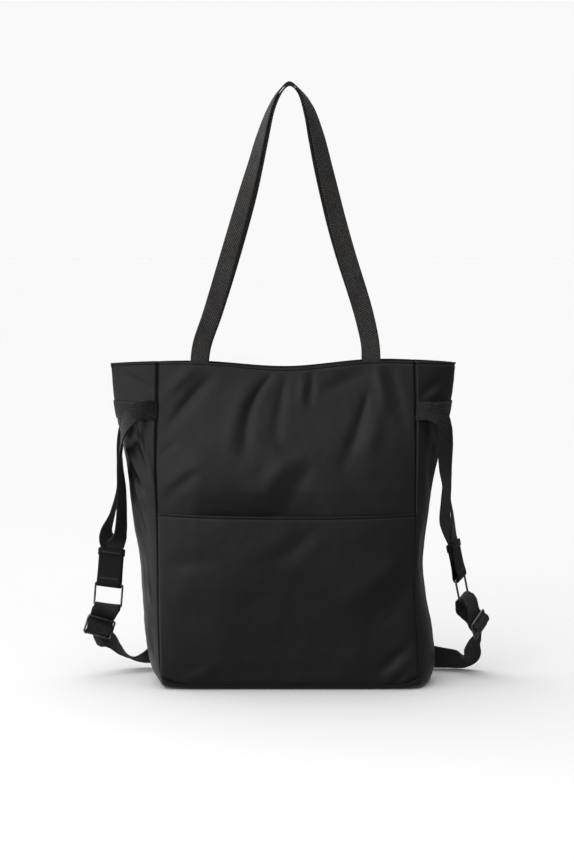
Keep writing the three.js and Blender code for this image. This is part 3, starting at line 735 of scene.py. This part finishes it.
def cloth_panel(node, place, outward, cloth):
    """One wall of the bag: a grid bent to its place, with the thickness of its cloth."""
    squares, flat = CUTS[node]
    bm = cloth_grid(*squares, *flat)
    bend(bm, place)
    face_towards(bm, outward)
    piece = finished(f"{node}_cloth", bm, nylon_weave(), node)
    thicken(piece, cloth, -1, CLOTH_ROUNDING)


def ribbon(node, stuff, stations, width, thickness, steps, material, cup=0.0):
    """A strip through stations, with rounded edges and a slight cup across it."""
    shares = np.linspace(0, 1, (len(stations) - 1) * steps + 1)
    lengths = lengths_along(ribbon_frames(stations, shares)[0])
    bm = cloth_grid(STRIP_SQUARES, len(shares) - 1, width, 1)
    pattern = bm.loops.layers.uv.active
    for face in bm.faces:
        for loop in face.loops:
            loop[pattern].uv.y = np.interp(loop[pattern].uv.y, shares, lengths)
    mark_edges(bm, 0)

    def place(x, y):
        spot, across, face = ribbon_frames(stations, (y + 1) / 2)[:3]
        return spot + across * (x * width / 2)[:, None] + face * (cup * (x * x - 1 / 3))[:, None]

    bend(bm, place)
    piece = finished(f"{node}_{stuff}", bm, material, node)
    thicken(piece, thickness, 0, STRIP_ROUNDING)


def station(row):
    """Point and way across of a table's row."""
    x, y, z, heading, rise = row
    heading, rise = math.radians(heading), math.radians(rise)
    level = math.cos(rise)
    return (x, y, z), (level * math.cos(heading), level * math.sin(heading), math.sin(rise))


def hanging_frame(hanging):
    """The turned place in which a ring or slider hangs."""
    place = Matrix.Translation((hanging.x, hanging.y, hanging.z))
    for degrees, axis in ((hanging.yaw, "Z"), (hanging.roll, "Y"), (hanging.pitch, "X")):
        place = place @ Matrix.Rotation(math.radians(degrees), 4, axis)
    return place


def in_frame(place, x, y, z):
    """A point given across, behind and above the middle of a ring or slider."""
    return tuple(place @ Vector((x, y, z)))


def across_frame(place):
    """The way across a ring or slider."""
    return place.to_3x3() @ Vector((1, 0, 0))


def add_stitches(bm, points, outs):
    """Sews a row of stitches along points, each a slim bead that lies on the cloth."""
    points = np.asarray(points, float)
    outs = np.asarray(outs, float)
    lengths = lengths_along(points)
    stitch, thread = sizes("stitch"), sizes("thread")
    pitch = stitch * STITCH_PITCH
    bead = Matrix.Diagonal((stitch / 2, thread / 2, thread / 2, 1))

    def at(values, length):
        return Vector([np.interp(length, lengths, values[:, axis]) for axis in range(3)])

    count = max(1, int(lengths[-1] / pitch))
    for n in range(count):
        middle = (n + 0.5) * lengths[-1] / count
        spot = at(points, middle)
        run = (at(points, middle + pitch / 4) - spot).normalized()
        beside = at(outs, middle).normalized().cross(run).normalized()
        turn = Matrix((run, beside, run.cross(beside))).transposed().to_4x4()
        lies = Matrix.Translation(spot) @ turn @ bead
        bmesh.ops.create_uvsphere(bm, u_segments=BEAD_SIDES, v_segments=BEAD_STEPS, radius=1, matrix=lies)


def sewn(name, bm):
    """Makes rows of stitches a piece."""
    shade_smooth(bm)
    finished(name, bm, thread_finish())


def feed(tree, made, inputs):
    """Links or sets a node's inputs."""
    for name, value in inputs.items():
        if isinstance(value, bpy.types.NodeSocket):
            tree.links.new(value, made.inputs[name])
        else:
            made.inputs[name].default_value = value


def node(tree, kind, out, inputs=None, **settings):
    """Adds a node with its settings and inputs, and gives one of its outputs."""
    made = tree.nodes.new(kind)
    for name, value in settings.items():
        setattr(made, name, value)
    feed(tree, made, inputs or {})
    return made.outputs[out]


class Finish:
    """A new material and the nodes that feed its shader."""

    def __init__(self, name):
        self.material = bpy.data.materials.new(name)
        self.material.use_nodes = True
        self.tree = self.material.node_tree
        self.place = self.node("ShaderNodeTexCoord", "Object")

    def node(self, kind, out, inputs=None, **settings):
        return node(self.tree, kind, out, inputs, **settings)

    def pattern(self):
        """The place on the flat cloth, in millimetres."""
        return self.node("ShaderNodeUVMap", "UV", uv_map="pattern")

    def edge(self):
        """How near the long edges of a strip are."""
        return self.node("ShaderNodeAttribute", "Fac", attribute_name="edge")

    def patches(self, scale, detail, roughness=0.5):
        """Soft random patches."""
        inputs = {"Vector": self.place, "Scale": scale, "Detail": detail, "Roughness": roughness}
        return self.node("ShaderNodeTexNoise", "Fac", inputs)

    def yarns(self, place, scale, way, uneven=None):
        """Yarns that lie side by side."""
        inputs = {"Vector": place, "Scale": scale, **(uneven or {})}
        return self.node("ShaderNodeTexWave", "Fac", inputs, bands_direction=way)

    def between(self, a, b, share):
        """A value between two values."""
        return self.node("ShaderNodeMix", "Result", {"Factor": share, "A": a, "B": b}, data_type="FLOAT")

    def spread(self, value, low, high):
        """A value from 0 to 1, spread from low to high."""
        return self.node("ShaderNodeMapRange", "Result", {"Value": value, "To Min": low, "To Max": high})

    def tints(self, base, value, *stops):
        """A colour made lighter or darker along a value, by stops of a place and a tint."""
        out = self.node("ShaderNodeValToRGB", "Color", {"Fac": value})
        elements = out.node.color_ramp.elements
        while len(elements) < len(stops):
            elements.new(0.5)
        for element, (place, by) in zip(elements, stops):
            element.position = place
            element.color = (*(channel * by for channel in base), 1)
        return out

    def times(self, a, b):
        """Two colours multiplied."""
        inputs = {"Factor": 1.0, "A": a, "B": b}
        return self.node("ShaderNodeMix", "Result", inputs, data_type="RGBA", blend_type="MULTIPLY")

    def bump(self, height, strength, distance, **under):
        """A surface raised by a height."""
        inputs = {"Height": height, "Strength": strength, "Distance": distance, **under}
        return self.node("ShaderNodeBump", "Normal", inputs)

    def done(self, inputs):
        """Feeds the shader and gives the material."""
        feed(self.tree, self.tree.nodes["Principled BSDF"], inputs)
        return self.material


def once(make):
    """Keeps the first material that a function makes, and gives it again afterwards."""
    def again():
        found = bpy.data.materials.get(make.__name__)
        return found or make(make.__name__)
    return again


@once
def nylon_weave(name):
    """Smooth black nylon: a fine plain weave with a soft satin sheen and slight unevenness."""
    finish = Finish(name)
    pattern = finish.pattern()
    over = finish.node("ShaderNodeTexChecker", "Fac", {"Vector": pattern, "Scale": 1.97})
    weave = finish.between(finish.yarns(pattern, 0.62, "X"), finish.yarns(pattern, 0.62, "Y"), over)
    tint = finish.tints(colour("nylon"), finish.patches(9, 4, 0.6), (0.3, 0.82), (0.7, 1.18))
    crumple = finish.bump(finish.patches(70, 5, 0.55), 0.25, 0.0012)
    return finish.done({
        "Base Color": finish.times(tint, finish.spread(weave, 0.8, 1.15)),
        "Roughness": finish.spread(finish.patches(26, 3), 0.42, 0.52),
        "Normal": finish.bump(weave, 0.35, 0.0001, Normal=crumple),
        "Specular IOR Level": 0.2,
    })


def twill(name, base):
    """Twill webbing: slanted ribs of thick yarn, a firm edge, and painted glints where the raised yarn tops
    are coloured lighter.
    """
    finish = Finish(name)
    pattern = finish.pattern()
    turn = (0, 0, math.radians(TWILL_SLANT))
    slanted = finish.node("ShaderNodeMapping", "Vector", {"Vector": pattern, "Rotation": turn})
    ribs = finish.yarns(slanted, 0.125, "X", {"Distortion": 1.4, "Detail": 2, "Detail Scale": 2.5})
    height = finish.between(ribs, finish.yarns(pattern, 0.3, "X", {"Distortion": 0.5}), 0.35)
    fuzz = finish.patches(420, 3, 0.7)
    # Painted highlight: the colour is made up to several times lighter on the rib tops, broken by fine noise,
    # as glints on the threads
    painted_glints = finish.node("ShaderNodeMath", "Value", {0: height, 1: fuzz}, operation="MULTIPLY")
    tint = finish.tints(base, painted_glints, (0.08, 0.3), (0.26, 0.9), (0.42, 2.6), (0.6, 4.2))
    firm = finish.tints(WHITE, finish.edge(), (0.86, 1.0), (0.93, 0.6), (1.0, 1.3))
    worn = finish.tints(WHITE, finish.patches(38, 3), (0.35, 0.8), (0.65, 1.2))
    return finish.done({
        "Base Color": finish.times(finish.times(tint, firm), worn),
        "Roughness": finish.spread(height, 0.8, 0.5),
        "Normal": finish.bump(height, 0.9, 0.0009),
        "Specular IOR Level": 0.22,
        "Sheen Weight": 0.03,
        "Sheen Roughness": 0.4,
    })


@once
def handle_twill(name):
    """Warm black webbing of the handles."""
    return twill(name, colour("handles"))


@once
def strap_twill(name):
    """The handles' twill made darker for the straps and side bands, as painted shade."""
    return twill(name, colour("straps"))


@once
def leather_grain(name):
    """Fine-grained black leather with rubbed edges."""
    finish = Finish(name)
    pores = {"Vector": finish.place, "Scale": 900}
    grain = finish.node("ShaderNodeTexVoronoi", "Distance", pores, feature="DISTANCE_TO_EDGE")
    uneven = finish.patches(130, 5)
    tint = finish.tints(colour("leather"), uneven, (0.3, 0.75), (0.7, 1.5))
    rubbed = finish.tints(WHITE, finish.edge(), (0.88, 1.0), (1.0, 1.9))
    return finish.done({
        "Base Color": finish.times(tint, rubbed),
        "Roughness": finish.spread(uneven, 0.5, 0.7),
        "Normal": finish.bump(grain, 0.5, 0.0003),
        "Specular IOR Level": 0.14,
    })


@once
def gunmetal_polish(name):
    """Dark polished metal with faint rubbing."""
    finish = Finish(name)
    rub = finish.patches(240, 4)
    return finish.done({
        "Base Color": finish.tints(colour("gunmetal"), rub, (0.35, 0.7), (0.75, 1.9)),
        "Roughness": finish.spread(rub, 0.2, 0.42),
        "Normal": finish.bump(rub, 0.1, 0.0002),
        "Metallic": 1,
    })


@once
def thread_finish(name):
    """Twisted black sewing thread, coloured much lighter than the cloth as a painted highlight of its glints.
    """
    finish = Finish(name)
    twist = finish.patches(1400, 2)
    return finish.done({
        "Base Color": finish.tints(colour("thread"), twist, (0.35, 0.7), (0.65, 1.5)),
        "Normal": finish.bump(twist, 0.4, 0.0002),
        "Roughness": 0.55,
    })


@once
def floor_finish(name):
    """Plain pale floor."""
    finish = Finish(name)
    base = bpy.context.scene.backpack_stage.floor
    tint = finish.tints(base, finish.patches(3, 2), (0.3, 0.995), (0.7, 1.005))
    return finish.done({"Base Color": tint, "Roughness": 0.9, "Specular IOR Level": 0})


class BACKPACK_OT_walls(bpy.types.Operator):
    """Make the front and back walls, from seam to seam and up to the rolled rim"""

    bl_idname = "backpack.walls"
    bl_label = "Front and Back Walls"

    def execute(self, context):
        for facing, point in ((FRONT, front_point), (BACK, back_point)):
            def place(u, v, point=point):
                s = crowded(u, EDGE_CROWD)
                return point(s, mix(wall_foot(s), wall_top(s), crowded_up(v, TOP_CROWD)))

            end = END_NAMES[facing]
            outward = (0, -facing, 0)
            cloth_panel(f"{end}_panel", place, outward, sizes("cloth"))
        return {"FINISHED"}


class BACKPACK_OT_pocket(bpy.types.Operator):
    """Make the smooth front pocket, with its sagging mouth and puckered foot"""

    bl_idname = "backpack.pocket"
    bl_label = "Front Pocket"

    def execute(self, context):
        def place(u, v):
            s = crowded(u, EDGE_CROWD)
            return pocket_point(s, mix(wall_foot(s), pocket_top(s), (crowded(v, TOP_CROWD) + 1) / 2))

        cloth = sizes("pocket_cloth")
        cloth_panel("front_pocket", place, (0, -1, 0), cloth)
        return {"FINISHED"}


class BACKPACK_OT_gussets(bpy.types.Operator):
    """Make the side walls, pleated outwards at the top and boxy at the foot"""

    bl_idname = "backpack.gussets"
    bl_label = "Side Walls"

    def execute(self, context):
        for side in (LEFT, RIGHT):
            def place(u, v, side=side):
                t = (crowded(u, EDGE_CROWD) + 1) / 2
                top = gusset_top(side, t)
                z = mix(SEAM_Z + corner_lift(1, pleat_deep(t)), top, crowded_up(v, TOP_CROWD))
                return gusset_point(side, t, z, hem_out(top - z))

            cloth_panel(
                f"gusset_{SIDE_NAMES[side]}", place, (side, 0, 0), sizes("cloth"),
            )
        return {"FINISHED"}


class BACKPACK_OT_base(bpy.types.Operator):
    """Make the base, whose edges turn up to the walls"""

    bl_idname = "backpack.base"
    bl_label = "Base"

    def execute(self, context):
        cloth_panel("base_panel", base_point, (0, 0, -1), sizes("cloth"))
        return {"FINISHED"}


class BACKPACK_OT_handles(bpy.types.Operator):
    """Make the two long handles, which lie on each other at the top"""

    bl_idname = "backpack.handles"
    bl_label = "Handles"

    def execute(self, context):
        for facing in (FRONT, BACK):
            ribbon(
                f"handle_{END_NAMES[facing]}", "webbing", self.stations(facing), sizes("handle_width"),
                sizes("handle_webbing"), HANDLE_STEPS, handle_twill(),
            )
        return {"FINISHED"}

    def stations(self, facing):
        rows = len(HANDLE["x"])
        depth = np.array((0, 1, 0))
        line = np.column_stack((HANDLE["x"], np.zeros(rows), HANDLE["z"]))
        run = ribbon_frames([(point, depth) for point in line], np.linspace(0, 1, rows))[3]
        outer = np.column_stack((-run[:, 2], np.zeros(rows), run[:, 0]))
        turn = np.radians(HANDLE["turn"])[:, None]
        face = -depth * np.cos(turn) + outer * np.sin(turn)
        across = depth * np.sin(turn) + outer * np.cos(turn)
        points = line + face * facing * np.asarray(HANDLE["apart"])[:, None]
        left, right = (self.root(facing, side) for side in (LEFT, RIGHT))
        return [*left, *zip(points, across), *reversed(right)]

    def root(self, facing, side):
        found = []
        x, half_width = HANDLE_ROOTS[side], sizes("handle_width") / 2
        for below in (ROOT_DEPTH, ROOT_DEPTH / 2, 0):
            edges = np.array((x - half_width, x, x + half_width))
            z = float(rim(np.array((x,)))[0]) - below
            inside = wall_inside(facing, edges, np.full(3, z)).min()
            y = inside - GAP - ROOT_EASE - sizes("handle_webbing") / 2
            found.append(((x, -facing * y, z), (side, 0, 0)))
        return found


class BACKPACK_OT_bands(bpy.types.Operator):
    """Make the webbing bands round the side walls, with their stitched edges"""

    bl_idname = "backpack.bands"
    bl_label = "Side Bands"

    def execute(self, context):
        width, thick = sizes("strand_width"), sizes("webbing")
        stitches = bmesh.new()
        for side in (LEFT, RIGHT):
            bm = cloth_grid(*BAND_SQUARES, BAND_LENGTH, width)
            pattern = bm.loops.layers.uv.active
            for face in bm.faces:
                for loop in face.loops:
                    loop[pattern].uv = loop[pattern].uv.yx
            mark_edges(bm, 1)

            def place(u, v, side=side):
                t = mix(BAND_START, 1 - BAND_START, (u + 1) / 2)
                z = BAND_Z + v * width / 2
                return gusset_point(side, t, z, GAP + thick / 2, smooth=True)

            bend(bm, place)
            name = f"side_band_{SIDE_NAMES[side]}"
            piece = finished(f"{name}_webbing", bm, strap_twill(), name)
            thicken(piece, thick, 0, STRIP_ROUNDING)
            t = np.linspace(BAND_ROW_START, 1 - BAND_ROW_START, BAND_ROW_PLACES)
            for up in (-1, 1):
                z = BAND_Z + up * (width / 2 - BAND_STITCH_INSET)
                on = gusset_point(side, t, z, GAP + thick + STITCH_PROUD, smooth=True)
                add_stitches(stitches, on, on - gusset_point(side, t, z, smooth=True))
        sewn("band_stitches", stitches)
        return {"FINISHED"}


class BACKPACK_OT_strands(bpy.types.Operator):
    """Make the upper strands of the straps, from the side seams down to the tabs"""

    bl_idname = "backpack.strands"
    bl_label = "Upper Strands"

    def execute(self, context):
        for (side, facing), rows in STRANDS.items():
            name = f"strand_{SIDE_NAMES[side]}_{END_NAMES[facing]}"
            ribbon(
                name, "webbing", self.stations(side, facing, rows), sizes("strand_width"), sizes("webbing"),
                STRAND_STEPS, strap_twill(), STRAND_CUP,
            )
        return {"FINISHED"}

    def stations(self, side, facing, rows):
        half_width, thick = sizes("strand_width") / 2, sizes("webbing")
        heights = BAND_Z + half_width * np.array((-1, 0, 1))
        seam = 0 if facing == FRONT else 1
        low, middle, high = gusset_point(side, seam, heights, STRAND_IN_SEAM, smooth=True)
        hung = hanging_frame(RINGS[side])
        across = across_frame(hung)
        if across.dot(Vector(station(rows[-1])[1])) < 0:
            across = -across
        order = side * facing
        depth = order * (2 * GAP + thick) / 2
        in_tab = [
            (in_frame(hung, -order * TAB_SPREAD, depth, RING_HEIGHT / 2 + TAB_TOP + above), tuple(across))
            for above in (TAB_LEAD, 0, -TAB_OVERLAP)
        ]
        return [(middle, unit(high - low)), *map(station, rows), *in_tab]


class BACKPACK_OT_tabs(bpy.types.Operator):
    """Make the leather tabs, folded round the rings, with thick turned tops and rows of stitches"""

    bl_idname = "backpack.tabs"
    bl_label = "Leather Tabs"

    def execute(self, context):
        stitches = bmesh.new()
        for side in (LEFT, RIGHT):
            hung = hanging_frame(RINGS[side])
            name = f"tab_{SIDE_NAMES[side]}"
            layer = sizes("webbing") + 2 * GAP + TAB_LEATHER / 2
            self.tab(name, hung, layer)
            self.lip(name, hung, layer)
            self.stitch(stitches, hung, layer)
        sewn("tab_stitches", stitches)
        return {"FINISHED"}

    def tab(self, name, hung, layer):
        bar = RING_HEIGHT / 2
        roll = layer + TAB_SWELL
        way = [(layer, bar + TAB_TOP), (layer, bar + TAB_WAIST)]
        for angle in map(math.radians, HALF_TURN):
            way.append((roll * math.cos(angle), bar - roll * math.sin(angle)))
        way.extend(((-layer, bar + TAB_WAIST), (-layer, bar + TAB_TOP)))
        across = tuple(across_frame(hung))
        stations = [(in_frame(hung, 0, depth, up), across) for depth, up in way]
        ribbon(name, "leather", stations, TAB_WIDTH, TAB_LEATHER, TAB_STEPS, leather_grain())

    def lip(self, name, hung, layer):
        bm = bmesh.new()
        up = RING_HEIGHT / 2 + TAB_TOP - TAB_LIP_HEIGHT / 2
        size = Matrix.Diagonal((TAB_WIDTH + 2 * TAB_LIP_OVER, TAB_LIP_DEPTH, TAB_LIP_HEIGHT, 1))
        for facing in (FRONT, BACK):
            depth = -facing * (layer + TAB_LIP_DEPTH / 4)
            bmesh.ops.create_cube(bm, size=1, matrix=hung @ Matrix.Translation((0, depth, up)) @ size)
        bmesh.ops.bevel(
            bm, geom=bm.edges[:], offset=TAB_LIP_ROUND, segments=TAB_LIP_STEPS, profile=0.5,
            affect="EDGES", material=-1,
        )
        shade_smooth(bm)
        finished(f"{name}_lip", bm, leather_grain())

    def stitch(self, stitches, hung, layer):
        half = TAB_WIDTH / 2 - TAB_STITCH_INSET
        for facing in (FRONT, BACK):
            out = hung.to_3x3() @ Vector((0, -facing, 0))
            for above, proud in TAB_STITCH_ROWS:
                depth = -facing * (layer + TAB_LEATHER / 2 + proud + STITCH_PROUD)
                ends = [in_frame(hung, x, depth, RING_HEIGHT / 2 + above) for x in (-half, half)]
                add_stitches(stitches, ends, [out, out])


class BACKPACK_OT_hardware(bpy.types.Operator):
    """Make the wire rings and the sliders with their middle bars"""

    bl_idname = "backpack.hardware"
    bl_label = "Rings and Sliders"

    def execute(self, context):
        for side in (LEFT, RIGHT):
            ring = self.bent_wire(RING_WIDTH, RING_HEIGHT)
            self.hang(ring, RINGS[side], f"ring_{SIDE_NAMES[side]}")
            slider = self.bent_wire(SLIDER_WIDTH, SLIDER_HEIGHT)
            self.bar(slider)
            self.hang(slider, SLIDERS[side], f"slider_{SIDE_NAMES[side]}")
        return {"FINISHED"}

    def bent_wire(self, width, height):
        bm = bmesh.new()
        inset = Vector((width / 2 - WIRE_CORNER, 0, height / 2 - WIRE_CORNER))
        ways = (Vector((1, 0, 0)), Vector((0, 0, 1)), Vector((-1, 0, 0)), Vector((0, 0, -1)))
        corners = ((1, -1), (1, 1), (-1, 1), (-1, -1))
        start = Vector((-inset.x, 0, -height / 2))
        section = Matrix.Translation(start) @ Matrix.Rotation(math.pi / 2, 4, "Y")
        ring = bmesh.ops.create_circle(
            bm, cap_ends=False, segments=WIRE_SIDES, radius=sizes("wire") / 2, matrix=section
        )
        edges = list({edge for vert in ring["verts"] for edge in vert.link_edges})
        for way, (x, z) in zip(ways, corners):
            grown = bmesh.ops.extrude_edge_only(bm, edges=edges)["geom"]
            verts = [item for item in grown if isinstance(item, bmesh.types.BMVert)]
            edges = [item for item in grown if isinstance(item, bmesh.types.BMEdge)]
            bmesh.ops.translate(bm, verts=verts, vec=way * 2 * abs(inset.dot(way)))
            turned = bmesh.ops.spin(
                bm, geom=verts + edges, cent=(x * inset.x, 0, z * inset.z), axis=(0, -1, 0),
                angle=math.pi / 2, steps=WIRE_TURN_STEPS, use_duplicate=False,
            )["geom_last"]
            edges = [item for item in turned if isinstance(item, bmesh.types.BMEdge)]
        bmesh.ops.remove_doubles(bm, verts=bm.verts, dist=WIRE_WELD)
        bmesh.ops.recalc_face_normals(bm, faces=bm.faces)
        return bm

    def bar(self, bm):
        radius = sizes("wire") / 2
        bmesh.ops.create_cone(
            bm, cap_ends=True, segments=WIRE_SIDES, radius1=radius, radius2=radius, depth=SLIDER_WIDTH,
            matrix=Matrix.Rotation(math.pi / 2, 4, "Y"),
        )

    def hang(self, bm, hanging, name):
        bmesh.ops.transform(bm, matrix=hanging_frame(hanging), verts=bm.verts)
        shade_smooth(bm)
        finished(f"{name}_metal", bm, gunmetal_polish(), name)


class BACKPACK_OT_straps(bpy.types.Operator):
    """Make the lower straps: from the foot through the slider, round the ring and back to the slider"""

    bl_idname = "backpack.straps"
    bl_label = "Lower Straps"

    def execute(self, context):
        for side in (LEFT, RIGHT):
            ribbon(
                f"strap_{SIDE_NAMES[side]}", "webbing", self.stations(side), sizes("strap_width"),
                sizes("webbing"), STRAP_STEPS, strap_twill(), STRAP_CUP,
            )
        return {"FINISHED"}

    def stations(self, side):
        ring, slider = hanging_frame(RINGS[side]), hanging_frame(SLIDERS[side])
        radius, front, back = LOOPS[side]
        on_bar = sizes("wire") / 2 + BAR_GAP + sizes("webbing") / 2

        def at_slider(spot):
            return in_frame(slider, 0, *spot), tuple(-across_frame(slider))

        def at_ring(depth, up):
            return in_frame(ring, 0, depth, up - RING_HEIGHT / 2), tuple(-across_frame(ring))

        def between(depth, share):
            bar = Vector(at_ring(0, 0)[0])
            way_out = Vector(at_slider(SLIDER_WAY[-1])[0])
            stands_off = ring.to_3x3() @ Vector((0, depth, 0))
            across = across_frame(ring).lerp(across_frame(slider), share)
            return tuple(bar.lerp(way_out, share) + stands_off), tuple(-across)

        loop = [
            at_ring(-radius * math.cos(angle), on_bar - radius + radius * math.sin(angle))
            for angle in map(math.radians, HALF_TURN)
        ]
        return [
            *self.root(side),
            *map(station, STRAPS[side]),
            *map(at_slider, SLIDER_WAY),
            between(*front),
            *loop,
            between(*back),
            *map(at_slider, SLIDER_RETURN),
        ]

    def root(self, side):
        z = np.array((STRAP_ROOT_Z,), float)
        left, right = seams(z)
        found = []
        for inside in (STRAP_ROOT_LENGTH, 0):
            half = wall(side * (1 - 2 * inside / (right - left)), z)[1][0]
            y = half + 2 * GAP + sizes("webbing") / 2
            found.append(((side_at(side, "seam", z)[0] - side * inside, y, STRAP_ROOT_Z), (0, 0, 1)))
        return found


class BACKPACK_OT_rim_stitches(bpy.types.Operator):
    """Sew the row of stitches that holds the rolled rim"""

    bl_idname = "backpack.rim_stitches"
    bl_label = "Rim Stitches"

    def execute(self, context):
        bm = bmesh.new()
        s = np.linspace(-RIM_ROW_END, RIM_ROW_END, RIM_ROW_PLACES)
        top = wall_top(s)
        for point, way in ((front_point, -1), (back_point, 1)):
            on = point(s, top - HEM_BELOW)
            on[:, 1] += way * RIM_STITCH_PROUD
            add_stitches(bm, on, np.tile((0, way, 0), (len(s), 1)))
        t = np.linspace(SIDE_ROW_START, 1 - SIDE_ROW_START, SIDE_ROW_PLACES)
        for side in (LEFT, RIGHT):
            z = gusset_top(side, t) - HEM_BELOW
            on = gusset_point(side, t, z, hem_out(HEM_BELOW) + RIM_STITCH_PROUD)
            add_stitches(bm, on, gusset_point(side, t, z, 1) - gusset_point(side, t, z))
        sewn("rim_stitches", bm)
        return {"FINISHED"}


class BACKPACK_OT_stage(bpy.types.Operator):
    """Make the pale floor, the soft studio light and the camera"""

    bl_idname = "backpack.stage"
    bl_label = "Stage"

    def execute(self, context):
        context.scene.view_settings.view_transform = "Standard"
        self.floor()
        self.lamp(context.scene.backpack_stage.key)
        self.studio(context.scene)
        self.camera(context.scene)
        return {"FINISHED"}

    def floor(self):
        bm = bmesh.new()
        bmesh.ops.create_grid(bm, x_segments=1, y_segments=1, size=FLOOR_HALF)
        floor = meshed("floor", bm, floor_finish())
        floor.visible_glossy = False

    def studio(self, scene):
        """Lights the bag from a bright side and a glowing ceiling; the camera sees plain white."""
        stage = scene.backpack_stage
        scene.world = bpy.data.worlds.new("studio")
        scene.world.use_nodes = True
        tree = scene.world.node_tree

        def worked(operation, *values):
            return node(tree, "ShaderNodeMath", "Value", dict(enumerate(values)), operation=operation)

        def spread(value, ends):
            return node(tree, "ShaderNodeMapRange", "Result", {"Value": value, **ends})

        way = node(tree, "ShaderNodeTexCoord", "Generated")
        lamps = Vector(STUDIO_SIDE).normalized()
        towards = node(tree, "ShaderNodeVectorMath", "Value", {0: way, 1: lamps}, operation="DOT_PRODUCT")
        fall = worked("POWER", spread(towards, {"From Min": -1}), STUDIO_FALL)
        glow = spread(fall, {"To Min": stage.sky_low, "To Max": stage.sky_high})
        height = node(tree, "ShaderNodeSeparateXYZ", "Z", {"Vector": way})
        ceiling = worked("POWER", worked("MAXIMUM", height, 0), OVERHEAD_FALL)
        lit = worked("MULTIPLY_ADD", ceiling, stage.overhead, glow)
        seen = node(tree, "ShaderNodeLightPath", "Is Camera Ray")
        levels = {"Factor": seen, "A": lit, "B": stage.background}
        level = node(tree, "ShaderNodeMix", "Result", levels, data_type="FLOAT")
        feed(tree, tree.nodes["Background"], {"Color": (*WHITE, 1), "Strength": level})

    def aim(self, made, place, towards):
        made.location = place
        made.rotation_euler = (Vector(towards) - Vector(place)).to_track_quat("-Z", "Y").to_euler()

    def lamp(self, power):
        lamp = bpy.data.lights.new("key_lamp", "AREA")
        lamp.energy = power
        lamp.size = KEY_SIZE
        self.aim(placed("key_lamp", lamp), KEY_PLACE, KEY_AIM)

    def camera(self, scene):
        camera = bpy.data.cameras.new("camera")
        camera.lens = CAMERA_LENS
        scene.camera = placed("camera", camera)
        self.aim(scene.camera, CAMERA_EYE, CAMERA_AIM)


MAKERS = (
    BACKPACK_OT_stage,
    BACKPACK_OT_walls,
    BACKPACK_OT_pocket,
    BACKPACK_OT_gussets,
    BACKPACK_OT_base,
    BACKPACK_OT_handles,
    BACKPACK_OT_bands,
    BACKPACK_OT_strands,
    BACKPACK_OT_tabs,
    BACKPACK_OT_hardware,
    BACKPACK_OT_straps,
    BACKPACK_OT_rim_stitches,
)


GROUPS = {
    "backpack_sizes": BackpackSizes,
    "backpack_colours": BackpackColours,
    "backpack_stage": BackpackStage,
}


class BACKPACK_PT_panel(bpy.types.Panel):
    """Lists the bag's pieces, sizes and colours."""

    bl_idname = "BACKPACK_PT_panel"
    bl_label = "Tote Backpack"
    bl_space_type = "VIEW_3D"
    bl_region_type = "UI"
    bl_category = "Backpack"

    def draw(self, context):
        for maker in MAKERS:
            self.layout.operator(maker.bl_idname)
        for group in GROUPS:
            settings = getattr(context.scene, group)
            for name in settings.__annotations__:
                self.layout.prop(settings, name)


def register():
    for group in GROUPS.values():
        bpy.utils.register_class(group)
    for name, group in GROUPS.items():
        setattr(bpy.types.Scene, name, PointerProperty(type=group))
    for kind in (*MAKERS, BACKPACK_PT_panel):
        bpy.utils.register_class(kind)


def unregister():
    for kind in reversed((*MAKERS, BACKPACK_PT_panel)):
        bpy.utils.unregister_class(kind)
    for name, group in GROUPS.items():
        delattr(bpy.types.Scene, name)
        bpy.utils.unregister_class(group)


def main():
    """Makes the whole bag and its stage."""
    register()
    for maker in MAKERS:
        group, name = maker.bl_idname.split(".")
        getattr(getattr(bpy.ops, group), name)()


if __name__ == "__main__":
    main()
